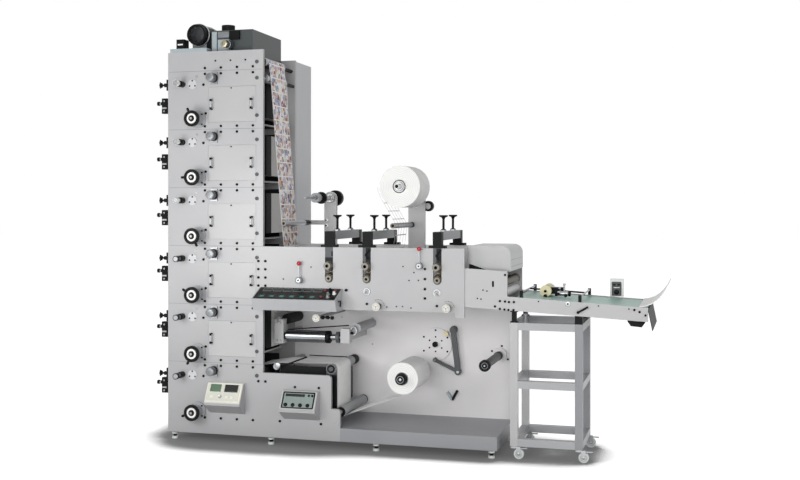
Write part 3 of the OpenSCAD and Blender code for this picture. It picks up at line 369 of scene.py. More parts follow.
def printedWeb(name):
    # paper printed two labels across, each label 140 by 105 mm with white gaps between: a patchwork of small fields
    # in brown, tan, pale blue, lilac and cream on white; along is x minus z, which grows down the run
    material, tree, shader, place = newMaterial(name)
    split = addNode(tree, "SeparateXYZ", {"Vector": place})
    along = addNode(tree, "Math", {0: split.outputs["X"], 1: split.outputs["Z"]}, operation="SUBTRACT")
    across = addNode(tree, "Math", {0: split.outputs["Y"], 1: 0.0175}, operation="ADD")
    flat = addNode(tree, "CombineXYZ", {"X": across.outputs[0], "Y": along.outputs[0]}).outputs[0]
    patches = addNode(tree, "TexVoronoi", {"Vector": flat, "Scale": 40.0, "Randomness": 1.0}, distance="CHEBYCHEV")
    chance = addNode(tree, "SeparateColor", {"Color": patches.outputs["Color"]}).outputs["Red"]
    shares = (0.0, 0.14, 0.26, 0.4, 0.54, 0.74)
    colours = ("#7b544c", "#d0a27c", "#91a3c0", "#cbbdcf", "#e6d9d0", "#f4f3f3")
    inks = colourRamp(tree, chance, [(s, linear(c)) for s, c in zip(shares, colours)], "CONSTANT")
    labelSize = {"Mortar Size": 0.005, "Mortar Smooth": 0.1, "Brick Width": 0.14, "Row Height": 0.105}
    labels = addNode(tree, "TexBrick", {"Vector": flat, "Scale": 1.0, **labelSize}, offset=0.0).outputs["Fac"]
    printed = addNode(tree, "Mix", {0: labels, 6: inks, 7: linear("#f6f5f2")}, data_type="RGBA").outputs[2]
    setInputs(tree, shader, {"Base Color": printed, "Roughness": 0.5})
    return material


# the frame paint is darker towards the floor: painted shade
frameEnamel = enamel("frameEnamel", "#b5b5b6", "#afafb1", 0.36, low=0.8)
coverEnamel = enamel("coverEnamel", "#b8b8b9", "#b3b3b4", 0.34)
gearEnamel = enamel("gearEnamel", "#cdced0", "#c6c7ca", 0.4)
wallEnamel = enamel("wallEnamel", "#e5e3e4", "#dfddde", 0.42)
bedEnamel = enamel("bedEnamel", "#a2a3a6", "#9a9b9f", 0.42)
bedEdgeEnamel = enamel("bedEdgeEnamel", "#929396", "#8b8c90", 0.42)
castEnamel = enamel("castEnamel", "#a6a8aa", "#9c9ea1", 0.45, peel=4)
hoodEnamel = enamel("hoodEnamel", "#394041", "#2f3536", 0.42)
hammerEnamel = enamel("hammerEnamel", "#85888a", "#787b7e", 0.4, peel=5)
tubeEnamel = enamel("tubeEnamel", "#adaeb0", "#a5a6a9", 0.4)
panelPale = enamel("panelPale", "#a9b5b9", "#a0acb0", 0.4)
whiteSheet = enamel("whiteSheet", "#efefec", "#e8e8e6", 0.4)
darkCast = enamel("darkCast", "#4b4e50", "#404346", 0.5, peel=4)
# dark primer; the same paint serves as painted shade inside the tower and in the die slots
shadeAndPrimer = enamel("shadeAndPrimer", "#2b2d2f", "#232527", 0.6, peel=4, shine=0.12)
groundSteel = cutSteel("groundSteel", "#b0b2b4", 0.34, (1, 0.04, 1))
rollerSteel = cutSteel("rollerSteel", "#9d9fa2", 0.36, (1, 0.03, 1))
chrome = cutSteel("hardChrome", "#8f9194", 0.2, (0.03, 1, 1), strength=0.03)
knurlSteel = cutSteel("knurlSteel", "#7b7d7f", 0.4, spacing=3)
zincSteel = cutSteel("zincSteel", "#a3a5a6", 0.38, spacing=4, strength=0.05)
darkBronze = cutSteel("darkBronze", "#4c4638", 0.45, spacing=3, strength=0.05)
bushBronze = cutSteel("bushBronze", "#75726b", 0.4, spacing=3, strength=0.04, metal=0.4)
brass = cutSteel("brass", "#a49c86", 0.34, spacing=3, strength=0.04)
blackPhenolic = moulded("blackPhenolic", "#0d0e0f", 0.38, shine=0.14)
blackOxide = moulded("blackOxide", "#0c0d0e", 0.5, grit=2.0, shine=0.12)
blackRubber = moulded("blackRubber", "#151617", 0.6, ior=1.52, shine=0.25)
creamRubber = moulded("creamRubber", "#f0e6bd", 0.55)
greenBelt = moulded("greenBelt", "#a6cabf", 0.42)
paperStock = moulded("paperStock", "#f6f6f4", 0.75, grit=1.6, strength=0.04, ior=1.45)
# the white waste paper drawn grey: painted shade on its thin strips
shadedWastePaper = moulded("shadedWastePaper", "#b9b9b5", 0.75)
ivoryPlastic = moulded("ivoryPlastic", "#dedcd2", 0.45)
dialWhite = moulded("dialWhite", "#f1f1ee", 0.4)
castorWheel = moulded("castorWheel", "#d6dbd9", 0.5)
panelBlack = moulded("panelBlack", "#151818", 0.34, shine=0.2)
bezelGrey = moulded("bezelGrey", "#626a67", 0.4)
panelGreen = moulded("panelGreen", "#3f7a70", 0.3)
panelGrey = moulded("panelGrey", "#83908b", 0.4)
panelCream = moulded("panelCream", "#cfcfc3", 0.45)
displayGlass = moulded("displayGlass", "#0b0d0e", 0.16, strength=0.0)
displayGreen = moulded("displayGreen", "#55705a", 0.25, strength=0.0)
redLamp = moulded("redLamp", "#6a2226", 0.25)
redBall = moulded("redBall", "#b3182c", 0.22)
webPrint = printedWeb("webPrint")
print("materials made")

finishes = {
    frameEnamel: "tower_front_plate tower_rear_plate lower_front_plate die_front_plate rewind_posts",
    gearEnamel: "gear_cover",
    coverEnamel: "unit_covers web_dryers cutter_hood delivery_frame",
    wallEnamel: "rear_wall",
    bedEnamel: "base_bed",
    bedEdgeEnamel: "stand_posts",
    castEnamel: "handwheel_housings",
    # the decks are painted dark: painted shade for the dim inside of the tower
    shadeAndPrimer: "unit_decks ink_trays",
    hoodEnamel: "drying_hood blower",
    blackPhenolic: "handwheel_1 handwheel_2 handwheel_3 handwheel_4 handwheel_5 handwheel_6",
    blackOxide: "edge_screws bridge_blocks pressure_screws levelling_feet hold_down_bars support_blocks belt_motor",
    groundSteel: "die_cylinders web_guide",
    darkCast: "wall_fittings rewind_shaft dancer_arm",
    rollerSteel: "idler_rollers adjusting_knobs rewind_mandrel print_cylinders",
    zincSteel: "ball_lever_1 ball_lever_2 cover_handles castor_1 castor_2 castor_3 castor_4",
    blackRubber: "inking_rollers",
    webPrint: "printed_web",
    paperStock: "feed_web unwind_roll waste_roll",
    hammerEnamel: "bridge_beams",
    ivoryPlastic: "control_boxes",
    greenBelt: "conveyor_belt",
    creamRubber: "hold_down_wheels",
    whiteSheet: "stacking_sheet",
    tubeEnamel: "control_console stand_rails",
}
for finish, names in finishes.items():
    for name in names.split():
        mesh = nodes[name].data
        mesh.materials.clear()
        mesh.materials.append(finish)
print("finishes given to the frame")

# tower front: screws along the seams, on the covers and beside the wheels
coverLow, coverHigh = boxOf("unit_covers")
rearPlateLow, rearPlateHigh = boxOf("tower_rear_plate")
bedTop = boxOf("base_bed")[1][2]
unitPitch = 400.0
seams = bedTop + unitPitch * np.arange(7)
face = 0.0  # y of the front plates
gripDrop = 88  # from a seam down to the grips and the flange discs
wheelX, wheelRise = 228, 68  # handwheel axes, from the seam below
tower = {
    "screwColumns": (280, 399, 518, 635), "screwOff": 20, "screwRadius": 8.5, "lowestRise": 22,
    "plugX": 664, "plugRises": (88, -76), "topPlugRises": (51, -58), "plugRadius": 13,
    "headRow": (358, 470, 580), "headRise": 67, "lidScrewX": 475, "lidDrop": 10, "eyeX": 217, "eyeDrop": 36,
    "sideColumns": (675, 726), "sideHeights": (1246, 1191, 1135, 1080, 433),
    "wheelScrewX": 286, "wheelScrewRise": 109, "gripScrewX": 269, "gripScrewDrop": 94,
}


def clearOfConsole(places):
    # leaves out the places that the console hides
    return places[~((places[:, 0] > 600) & (places[:, 2] > 925) & (places[:, 2] < 1072))]


screwRows = [seams[1:] + tower["screwOff"], seams[1:] - tower["screwOff"], [seams[0] + tower["lowestRise"]]]
blackScrews = np.concatenate([
    grid(tower["screwColumns"], [face], np.concatenate(screwRows)),
    grid(tower["sideColumns"], [face], tower["sideHeights"]),
    grid([tower["wheelScrewX"]], [face], seams[:6] + tower["wheelScrewRise"]),
    grid([tower["gripScrewX"]], [face], seams[1:] - tower["gripScrewDrop"]),
])
plugHeights = np.concatenate([(seams[1:6, None] + tower["plugRises"]).ravel(), seams[6] + tower["topPlugRises"]])
lids = coverHigh[2] - unitPitch * np.arange(5) - tower["lidDrop"]
addPiece("towerScrews", [
    screwsAt(tower["screwRadius"], 7, clearOfConsole(blackScrews), blackOxide),
    screwsAt(6, 5, grid(tower["headRow"], [face], [seams[6] + tower["headRise"]]), blackOxide),
    screwsAt(tower["plugRadius"], 5, clearOfConsole(grid([tower["plugX"]], [face], plugHeights)), darkCast),
    screwsAt(5, 4, grid([tower["lidScrewX"]], [coverLow[1]], lids), blackOxide),
    ringAt(4, 9, 3, 20, grid([tower["eyeX"]], [face], seams[1:] - tower["eyeDrop"]), zincSteel),
])

# flange discs beside the grips, with three holes each
flange = {"x": 186, "y": -5, "holeRing": 24, "reach": 40}
discHoles = [aroundRing((flange["x"], flange["y"], z - gripDrop), flange["holeRing"], 3) for z in seams[1:]]
addPiece("flangeHoles", [discAt(6, 0.4, 16, np.concatenate(discHoles), blackOxide)])
paintFaces("tower_front_plate", gearEnamel, lambda f: (f.y < -1) & (np.abs(f.x - flange["x"]) < flange["reach"]))
# the inner side of the front plate is painted dark: painted shade inside the tower
paintFaces("tower_front_plate", shadeAndPrimer, lambda f: (f.ny > 0.9) & (f.y > 20))

# what shows through the open right side of the units: dryer fronts painted dark as painted shade, the dryers' right
# sides pale with dark sheets of painted shade on their front part, a dark sheet of painted shade on the rear plate in
# each unit, pale deck edges; seams between the units
paintFaces("unit_decks", wallEnamel, lambda f: f.nx > 0.9)
paintFaces("web_dryers", shadeAndPrimer, lambda f: f.ny < -0.9)
paintFaces("web_dryers", whiteSheet, lambda f: f.nx > 0.9)
paintFaces("base_bed", bedEdgeEnamel, lambda f: f.ny < -0.9)
dryer = {"height": 278, "rise": 223, "width": 90, "y": 235, "topWidth": 300, "topY": 340}
dryerSide = boxOf("web_dryers")[1][0]
dryerRows = grid([dryerSide], [dryer["y"]], seams[1:5] + dryer["rise"])
topDryer = (dryerSide, dryer["topY"], seams[5] + dryer["rise"])
# dark sheets on the dryers' right sides: painted shade
addPiece("dryerShadeSheets", [
    plateAt(dryer["width"], dryer["height"], 2, 1, dryerRows, shadeAndPrimer, "right"),
    plateAt(dryer["topWidth"], dryer["height"], 2, 1, topDryer, shadeAndPrimer, "right"),
])
# a dark sheet on the rear plate inside each unit: painted shade
addPiece("unitShadeSheet", [plateAt(570, 350, 4, 0.6, grid([300], [rearPlateLow[1]], seams[:6] + 220), shadeAndPrimer)])
seamPlaces = grid([rearPlateHigh[0] / 2], [face], seams[1:])
addPiece("unitSeams", [plateAt(rearPlateHigh[0] - 8, 2.4, 0.6, 0.3, seamPlaces, hammerEnamel, arc=3)])

# bow handles of the covers: bright bars between black feet
handleLow, handleHigh = boxOf("cover_handles")
handle = {"columns": (332, 628), "length": handleHigh[2] - handleLow[2] - 4 * unitPitch, "bar": 6, "beadLength": 17}
paintFaces("cover_handles", blackOxide, lambda f: f.y > handleLow[1] + 2 * handle["bar"])
beadRows = handleLow[2] + unitPitch * np.arange(5)
beadRows = [*beadRows, *(beadRows + handle["length"] - handle["beadLength"])]
beads = grid(handle["columns"], [handleLow[1] + handle["bar"]], beadRows)
addPiece("handleFeet", [turnedAt([(5, 0), (7.5, 1), (7.5, 16), (5, 17)], 18, beads, blackOxide, "up")])

# handwheels: a white dial ring with scale marks, a black nut with a bright middle and a sleeve on the pin
wheel = {
    "ringIn": 20, "ringOut": 35, "ringThick": 1.5, "dishDepth": 9, "marks": 40, "markRing": 33,
    "pinAngles": (200, 245, 150, 300, 180, 115), "pinReach": (50, 57, 66, 75, 79), "pinRadii": (6, 8, 9, 8.5, 6),
}
mark = plate(1.2, 5, 0.3, 0.5, 2)
for k in range(6):
    body = "handwheel_%d" % (k + 1)
    middle = np.array([wheelX, boxOf(body)[0][1], seams[k] + wheelRise])
    ringPlace = middle + (0, wheel["dishDepth"], 0)
    markPlaces = aroundRing(ringPlace - (0, wheel["ringThick"], 0), wheel["markRing"], wheel["marks"])
    pin = math.radians(wheel["pinAngles"][k])
    pinPath = middle + (0, 13, 0) + np.outer(wheel["pinReach"], [math.cos(pin), 0, math.sin(pin)])
    shapes = [
        ringAt(wheel["ringIn"], wheel["ringOut"], wheel["ringThick"], 40, ringPlace, dialWhite),
        turnedAt([(16, 0), (16, 3), (14, 4), (10, 4), (10, 1)], 24, middle + (0, 2, 0), blackOxide),
        turnedAt([(8.5, 0), (8.5, 3), (7.5, 3.8), (3, 3.8), (2.5, 1.5)], 24, middle, zincSteel),
        rod(pinPath, wheel["pinRadii"], blackPhenolic, sides=16),
    ]
    for m in range(0, wheel["marks"], 2):
        shapes.append((copies(mark, markPlaces[m], spin=m * 360 / wheel["marks"]), blackPhenolic))
    addPiece("wheelDial%d" % (k + 1), shapes, body)
flangeScrews = np.concatenate([aroundRing((wheelX, -12, z + wheelRise), 49, 4, 45) for z in seams[:6]])
addPiece("wheelFlangeScrews", [screwsAt(6, 5, flangeScrews, blackOxide)])


def knurled(radius, grooves, scale, levels):
    # a barrel that ripples around its axis: r = scale times (radius + 0.9 + 0.7 cos(grooves times the angle))
    a = np.linspace(0, 2 * np.pi, 4 * grooves, endpoint=False)
    r = np.array(scale)[:, None] * (radius + 0.9 + 0.7 * np.cos(grooves * a))
    return skin(np.stack(np.broadcast_arrays(r * np.cos(a), r * np.sin(a), np.array(levels)[:, None]), -1))


# register knobs: knurled barrels with a black ring at the plate; spool grips with black or white ends
knobPlaces = grid([350], [-10], seams[1:] - 52)
barrel = knurled(29, 36, [0.99, 1, 1, 0.99], [26, 27.5, 60, 61.5])
addPiece("registerKnobs", [
    (copies(barrel, knobPlaces), knurlSteel),
    ringAt(28.6, 31.5, 20, 32, knobPlaces + (0, -3, 0), blackOxide),
    turnedAt([(24, 0), (24, 1), (22, 1.6), (7, 1.6), (6, 0.6)], 32, knobPlaces + (0, -73.8, 0), knurlSteel),
])
gripPlaces = grid([112], [face], seams[1:] - gripDrop)
addPiece("gripSleeves", [
    ringAt(18.6, 21, 48, 32, gripPlaces + (0, -2, 0), blackPhenolic),
    ringAt(18.6, 21, 24, 32, gripPlaces[:3] + (0, -86, 0), blackPhenolic),
    ringAt(18.6, 20.4, 28, 32, gripPlaces[3:] + (0, -84, 0), dialWhite),
    ringAt(11.6, 14, 14, 32, gripPlaces + (0, -52, 0), zincSteel),
])

# left edge: thumb knobs; on the ink tray slides a bright strip and screws, and collars behind the knobs
thumb = [(11, 0), (13, 6), (14, 18), (8, 24), (6, 28), (8, 34), (17, 40), (17, 48), (13, 54)]
thumbPlaces = grid([-14], [12.5, 612.5], seams[1:] - gripDrop)
addPiece("thumbKnobs", [turnedAt(thumb, 24, thumbPlaces, blackOxide, "left")])
slideFeet = boxOf("ink_trays")[0][2] + unitPitch * np.arange(6)
slide = {"x": -146, "y": 222, "stripRise": 62, "screwRises": (40, 112), "collar": (-178, 240), "collarRise": 96}
slideScrews = np.concatenate([slideFeet + rise for rise in slide["screwRises"]])
collarX, collarY = slide["collar"]
addPiece("slideTrim", [
    plateAt(38, 12, 2, [(0, 0), (0, 2), (1, 3)], grid([slide["x"]], [slide["y"]], slideFeet + slide["stripRise"]),
            zincSteel, arc=3),
    screwsAt(7, 5, grid([slide["x"]], [slide["y"]], slideScrews), zincSteel),
    ringAt(8.2, 12.5, 9, 20, grid([collarX], [collarY], slideFeet + slide["collarRise"]), zincSteel, "left"),
])
print("tower front dressed")


# console: a dark panel on the sloping top with two rows of windows, lamps and knobs at the right
consoleLow, consoleHigh = boxOf("control_console")
console = {"back": 1070.0, "front": 1004.0, "depth": 150.0, "windows": 6, "windowGap": 71, "windowFirst": 72}
consoleDrop = console["back"] - console["front"]
consoleTurn = tilted(math.degrees(math.atan2(console["depth"], consoleDrop)))
slopeLength = math.hypot(console["depth"], consoleDrop)
consoleWidth = consoleHigh[0] - consoleLow[0]
consoleMidX, consoleMidZ = (consoleLow[0] + consoleHigh[0]) / 2, (console["back"] + console["front"]) / 2
consoleMid = np.array([consoleMidX, -console["depth"] / 2, consoleMidZ])


def onConsole(shape, along, up, out, finish):
    # a shape on the panel, placed from its left edge, its middle line and its surface
    return copies(shape, consoleMid + consoleTurn @ np.array([along - consoleWidth / 2, up, out]), consoleTurn), finish


bezelShape = plate(64, 44, 4, [(0, 0), (0, 2), (1.5, 3), (4, 3), (5, 1.2)])
glassShape = plate(53, 33, 2, 0.8)
litShape = plate(28, 22, 2, 0.6, 3)
lampShape = plate(22, 5, 1, 1, 3)
boardShape = plate(consoleWidth - 14, slopeLength - 12, 6, [(0, 0), (0, 2), (1, 3)])
panel = [onConsole(boardShape, consoleWidth / 2, 0, 0, panelBlack)]
for start in console["windowFirst"] + console["windowGap"] * np.arange(console["windows"]):
    panel += [
        onConsole(bezelShape, start, 42, 3, bezelGrey),
        onConsole(glassShape, start, 42, 4.2, displayGlass),
        onConsole(glassShape, start - 12, -46, 3, displayGlass),
        onConsole(litShape, start - 12, -46, 3.8, panelGreen),
        onConsole(lampShape, start - 6, 4, 3, redLamp),
    ]
buttonShape = turned([(11, 0), (11, 7), (10, 8.5), (7, 9.5)], 20)
knobShape = turned([(13, 0), (13, 4), (9, 6), (8, 18), (6, 19)], 20)
for along, up, shape, finish in (
    (478, 44, buttonShape, redLamp), (478, -46, buttonShape, redLamp), (515, 44, knobShape, blackPhenolic),
    (515, -10, knobShape, zincSteel), (550, 44, buttonShape, redLamp), (555, 0, knobShape, dialWhite),
    (525, -50, knobShape, zincSteel), (560, -48, buttonShape, blackPhenolic),
):
    panel.append(onConsole(shape, along, up, 3, finish))
addPiece("consolePanel", panel)
latchBend = [(1279, -100, 993), (1279, -70, 994), (1279, -52, 990), (1279, -54, 974), (1279, -58, 956)]
addPiece("consoleLatch", [
    rod(smoothPath(latchBend, 28), 4.5, blackOxide, (1, 0, 0)),
    discAt(10, 5, 16, (1273, -96, 993), zincSteel, "right"),
    turnedAt([(9, 0), (9, 14), (7, 16), (7, 24), (4, 25)], 16, (1302, 0, 1062), blackOxide),
])


# the two desk boxes: a framed face with windows and keys on the slope
def deskFace(name, low, high, frameFinish, faceFinish, details):
    # the sloping face runs from the front edge at 0.4 of the height to the top at 0.3 of the depth
    height, depth, width = high[2] - low[2], -low[1], high[0] - low[0]
    rise, run = 0.6 * height, 0.7 * depth
    turn = tilted(math.degrees(math.atan2(run, rise)))
    middle = np.array([(low[0] + high[0]) / 2, -0.65 * depth, low[2] + 0.7 * height])
    length = math.hypot(rise, run)
    rim = [(0, 0), (0, 5), (2, 7), (11, 7), (12, 3)]
    shapes = [
        plateAt(width - 4, length - 4, 8, rim, middle, frameFinish, turn),
        plateAt(width - 34, length - 34, 4, 5, middle, faceFinish, turn),
    ]
    for along, up, shape, finish in details:
        shapes.append((copies(shape, middle + turn @ np.array([along, up, 5.0]), turn), finish))
    addPiece(name, shapes)


windowRim = [(0, 0), (0, 3), (2, 4), (5, 4), (5, 2)]
plainKey = plate(24, 18, 4, [(0, 0), (0, 3), (1.5, 4.5)])
deskFace("unitControllerFace", (318, -96, 203.0), (578, 0, 415.0), ivoryPlastic, panelCream, [
    (-62, 32, plate(78, 52, 3, windowRim), displayGreen),
    (52, 32, plate(96, 52, 3, windowRim), displayGlass),
    (-20, -28, turned([(12, 0), (12, 3), (10, 5), (8, 4)], 24), zincSteel),
    *((along, -30, plainKey, ivoryPlastic) for along in (-80, 30, 66)),
])
smallKnob = turned([(8, 0), (8, 4), (6, 5)], 20)
setKnob = turned([(13, 0), (13, 6), (11, 9), (6, 10)], 24)
deskFace("tensionControllerFace", (860, -96, 189.0), (1114, 0, 385.0), coverEnamel, panelGrey, [
    (0, 0, plate(226, 116, 6, [(0, 0), (0, 3), (2, 4), (7, 4), (8, 1)]), blackPhenolic),
    (0, 0, plate(208, 98, 3, 1.6), panelGrey),
    (-26, 34, plate(136, 18, 3, [(0, 0), (0, 3), (1, 4), (3, 4), (3, 2)]), displayGlass),
    *((along, 34, smallKnob, blackPhenolic) for along in (70, 94)),
    *((along, -34, setKnob, blackPhenolic) for along in (-84, -32, 20, 72)),
])
paintFaces("control_boxes", frameEnamel, lambda f: (f.x > 600) | (f.nz < 0.2) & (f.x < 600))
print("controls dressed")

# die section: red balls, screws, dials and lock nuts
for k, (leverX, leverZ) in enumerate(((975, 1123), (1804, 1229))):
    body = "ball_lever_%d" % (k + 1)
    paintFaces(body, redBall, lambda f: f.z > leverZ + 97.5)
    addPiece("leverBoss%d" % (k + 1), [
        ringAt(15, 22.4, 3, 32, (leverX, -37, leverZ), hammerEnamel),
        turnedAt([(6, 0), (6, 3), (5, 4)], 6, (leverX, -37, leverZ), blackOxide),
    ], body)
paintFaces("bridge_blocks", darkCast, lambda f: f.z < 1340)
# the journals and body ends behind the front plate, seen in the slots, are painted dark: painted shade
paintFaces("die_cylinders", darkBronze, lambda f: (f.y > -1) & (f.y < 70))
paintFaces("die_cylinders", bushBronze, lambda f: f.y < -1)
stationX, journalZ = np.array([1180, 1442, 1920]), np.array([1137, 1222])


def inBore(f):
    # the walls and the bottom of the bores in the journal ends
    away = np.hypot(f.x[:, None, None] - stationX[:, None], f.z[:, None, None] - journalZ)
    return (f.y < -1) & (np.min(away, axis=(1, 2)) < 11.5)


paintFaces("die_cylinders", blackOxide, inBore)
dieScrews = [
    (1444, 974), (1918, 972), (1838, 1210), (1838, 1145), (1838, 1080), (1838, 1019),
    (939, 405), (1109, 406), (831, 171), (1124, 167),
]
smallScrews = [
    (1053, 1211), (856, 1127), (1690, 1224), (1764, 1186), (1731, 1134), (1794, 1135), (1646, 962), (1687, 963),
    (1581, 957), (1744, 955),
]
addPiece("plateScrews", [
    screwsAt(8.5, 7, onFace(dieScrews, face), blackOxide),
    screwsAt(4.5, 4, onFace(smallScrews, face), blackOxide),
    ringAt(5, 12, 4, 24, (1225, face, 196), zincSteel),
])

# what shows in the slots above the journals: dark sheets of painted shade for the shadow gaps beside the tongues, a
# narrow one at station 1 and one low in the slot of station 1; the black hooks of stations 2 and 3
tongue = {"z": 1297, "shadeWidth": 34, "shadeHeight": 92, "shadeOff": 10.5, "hookY": -7}
slotParts = [
    plateAt(10, 34, 4, 0.6, (stationX[0] + 22, face, 1302), blackOxide),
    plateAt(55, 26, 1, 0.5, (stationX[0], face, 1264), shadeAndPrimer, arc=3),
]
for x in stationX[1:]:
    hookBend = [(x + 24, 1336), (x + 14, 1322), (x + 4, 1310), (x - 6, 1296), (x + 4, 1282), (x + 10, 1268)]
    shadePlace = (x + tongue["shadeOff"], face, tongue["z"])
    slotParts += [
        plateAt(tongue["shadeWidth"], tongue["shadeHeight"], 1, 0.5, shadePlace, shadeAndPrimer, arc=3),
        rod(smoothPath(onFace(hookBend, tongue["hookY"]), 32), 5.5, blackOxide),
        turnedAt([(8, 0), (8, 12), (6, 13)], 18, (x + 4, face, 1282), blackOxide),
    ]
addPiece("slotParts", slotParts)

# faces of the three cream dials, and the black linkage beside the one under the plate
dialFaces = np.array([(1521, -58, 961), (1990, -58, 961), (1085, 3, 870)])
dialDots = np.concatenate([aroundRing(centre, 13, 3, 30) for centre in dialFaces])
dialScale = np.concatenate([aroundRing((x, face, z), 43, 24, 10)[:8] for x, _, z in dialFaces[:2]])
linkBeads = [(1118, 24, 873), (1152, 24, 875), (1184, 24, 873)]
addPiece("dialFaces", [
    ringAt(18.5, 20.5, 1, 36, dialFaces, castEnamel),
    discAt(3, 0.8, 14, dialDots, hammerEnamel),
    discAt(2.6, 0.6, 12, dialScale, blackOxide),
    turnedAt([(4, 0), (4, 2), (3, 2.6)], 16, dialFaces, hammerEnamel),
    rod([(1106, 24, 872), (1150, 24, 875), (1208, 24, 872)], 5, blackOxide),
    turnedAt([(9, 0), (12, 3), (12, 17), (9, 20)], 20, linkBeads, blackOxide, "right"),
])
plugPlaces = onFace([(1444, 1055), (1918, 1056)], face)
addPiece("plugRings", [ringAt(15, 25, 6, 36, plugPlaces, zincSteel), ringAt(13, 15.2, 2, 36, plugPlaces, darkCast)])
nutPlaces = grid(stationX, [174, 456], [1450])
addPiece("lockNuts", [turnedAt([(21, 0), (21, 8), (19, 10), (18, 10)], 6, nutPlaces, zincSteel, "up")])
paintFaces("adjusting_knobs", ivoryPlastic, lambda f: (f.x > 900) & (f.y < 20))
# the shaft behind the low dial is painted the mid-grey of the shaded wall: painted shade
paintFaces("adjusting_knobs", castEnamel, lambda f: (f.x > 900) & (f.y > 40))
paintFaces("adjusting_knobs", blackPhenolic, lambda f: (f.x > 900) & (f.y > -43) & (f.y < -1))
print("die section dressed")


# rear wall: clutch flange, pivots, cream roller and screws
clutchMid = np.array([1765.0, 588.0, 648.0])


def besideClutch(f):
    # the clutch flange and the plates at the ends of the wall
    away = np.hypot(f.x - clutchMid[0], f.z - clutchMid[2])
    return (away < 130) & (f.y > 586) | (f.x < 1330) | (f.x > 2100)


paintFaces("wall_fittings", wallEnamel, besideClutch)
paintFaces("wall_fittings", panelPale, lambda f: (f.x < 1884) & (f.z < 340) & (f.x > 1800))
paintFaces("wall_fittings", blackOxide, lambda f: (f.x > 1884) & (f.z < 340) & (f.x < 2000))
addPiece("clutchHoles", [
    discAt(7, 0.6, 16, aroundRing(clutchMid, 98, 6), blackOxide),
    discAt(6, 0.6, 16, aroundRing(clutchMid, 51, 6), blackOxide),
    turnedAt([(19, 0), (19, 3), (16, 5), (8, 5), (7, 2)], 28, clutchMid + (0, -22, 0), blackOxide),
    turnedAt([(17, 0), (17, 22), (15, 24), (9, 24), (8, 16)], 28, (1844, 588, 725), creamRubber),
])
addPiece("wallScrews", [
    screwsAt(7, 5, [(2164, 600, 613), (2234, 600, 650), (2276, 600, 560)], blackOxide),
    screwsAt(6, 4, grid([1070, 1300], [596], [632, 818]), zincSteel),
])

# dancer arm: a bright bolt at the knee and the roller pin at the tip
dancerLow, dancerHigh = boxOf("dancer_arm")
dancerPivot = np.array([dancerHigh[0] - 59, dancerLow[1], dancerHigh[2] - 23])
addPiece("dancerBolts", [
    turnedAt([(12, 0), (12, 4), (10, 6), (5, 6), (4, 3)], 6, dancerPivot + (36, 0, -290), zincSteel),
    turnedAt([(9, 0), (9, 16), (7, 18)], 20, dancerPivot + (-128, 0, -214), hammerEnamel),
], "dancer_arm")

# rolls: a black hub and cap in the unwind roll, core and collar of the waste roll, cap of the rewind shaft
unwindMid = np.array([1667.0, 58.0, 482.0])
addPiece("unwindHub", [
    ringAt(38, 43, 6, 48, unwindMid, hammerEnamel),
    discAt(38, 1, 40, unwindMid, blackOxide),
    turnedAt([(34, 0), (36, 3), (36, 42), (33, 46), (12, 46), (11, 42)], 36, unwindMid, blackOxide),
    ringAt(20, 25, 1.5, 36, unwindMid + (0, -46, 0), hammerEnamel),
    turnedAt([(9, 0), (9, 6), (7, 7)], 20, unwindMid + (0, -42, 0), zincSteel),
], "unwind_roll")
paintFaces("unwind_roll", woundPaper("woundStock", unwindMid), lambda f: f.ny < -0.9)
wasteMid = np.array([1630.0, 130.0, 1748.0])
paintFaces("waste_roll", woundPaper("woundWaste", wasteMid), lambda f: (f.ny < -0.9) & (f.y < 200))
addPiece("wasteCore", [
    ringAt(38, 44.5, 3, 48, wasteMid + (0, -10, 0), darkCast),
    ringAt(16.2, 30, 10, 32, wasteMid + (0, -11, 0), zincSteel),
    turnedAt([(12, 0), (12, 2), (5, 3)], 24, wasteMid + (0, -70, 0), blackOxide),
], "waste_roll")
rewindMid = np.array([2221.0, 50.0, 590.0])
addPiece("rewindCap", [
    ringAt(30, 37.5, 5, 40, rewindMid, blackOxide),
    turnedAt([(30, 0), (30, 2), (10, 3), (9, 8), (7, 9)], 36, rewindMid, blackPhenolic),
    ringAt(18, 21, 1.5, 36, rewindMid + (0, -2, 0), hammerEnamel),
    turnedAt([(5, 0), (5, 2), (4, 2.5)], 18, rewindMid + (0, -8.5, 0), zincSteel),
    ringAt(27.2, 30, 18, 32, rewindMid + (0, 470, 0), blackOxide),
], "rewind_shaft")
paintFaces("rewind_shaft", blackOxide, lambda f: f.y < 80)
mandrelMid = np.array([988.0, 0.0, 1675.0])
paintFaces("rewind_mandrel", hammerEnamel, lambda f: f.y < 330)
paintFaces("rewind_mandrel", blackOxide, lambda f: (f.y > 368) & (f.y < 396) | (f.y > 602))
postHoles = [(959, 1515), (959, 1477)]
addPiece("postNut", [
    ringAt(18, 34, 14, 32, mandrelMid + (0, 575, 0), zincSteel),
    ringAt(17, 24, 26, 6, mandrelMid + (0, 572, 0), dialWhite),
    turnedAt([(13, 0), (13, 8), (6, 9)], 24, onFace(postHoles, 575), zincSteel),
    discAt(6, 0.6, 14, onFace(postHoles, 566), blackOxide),
])
print("rolls dressed")

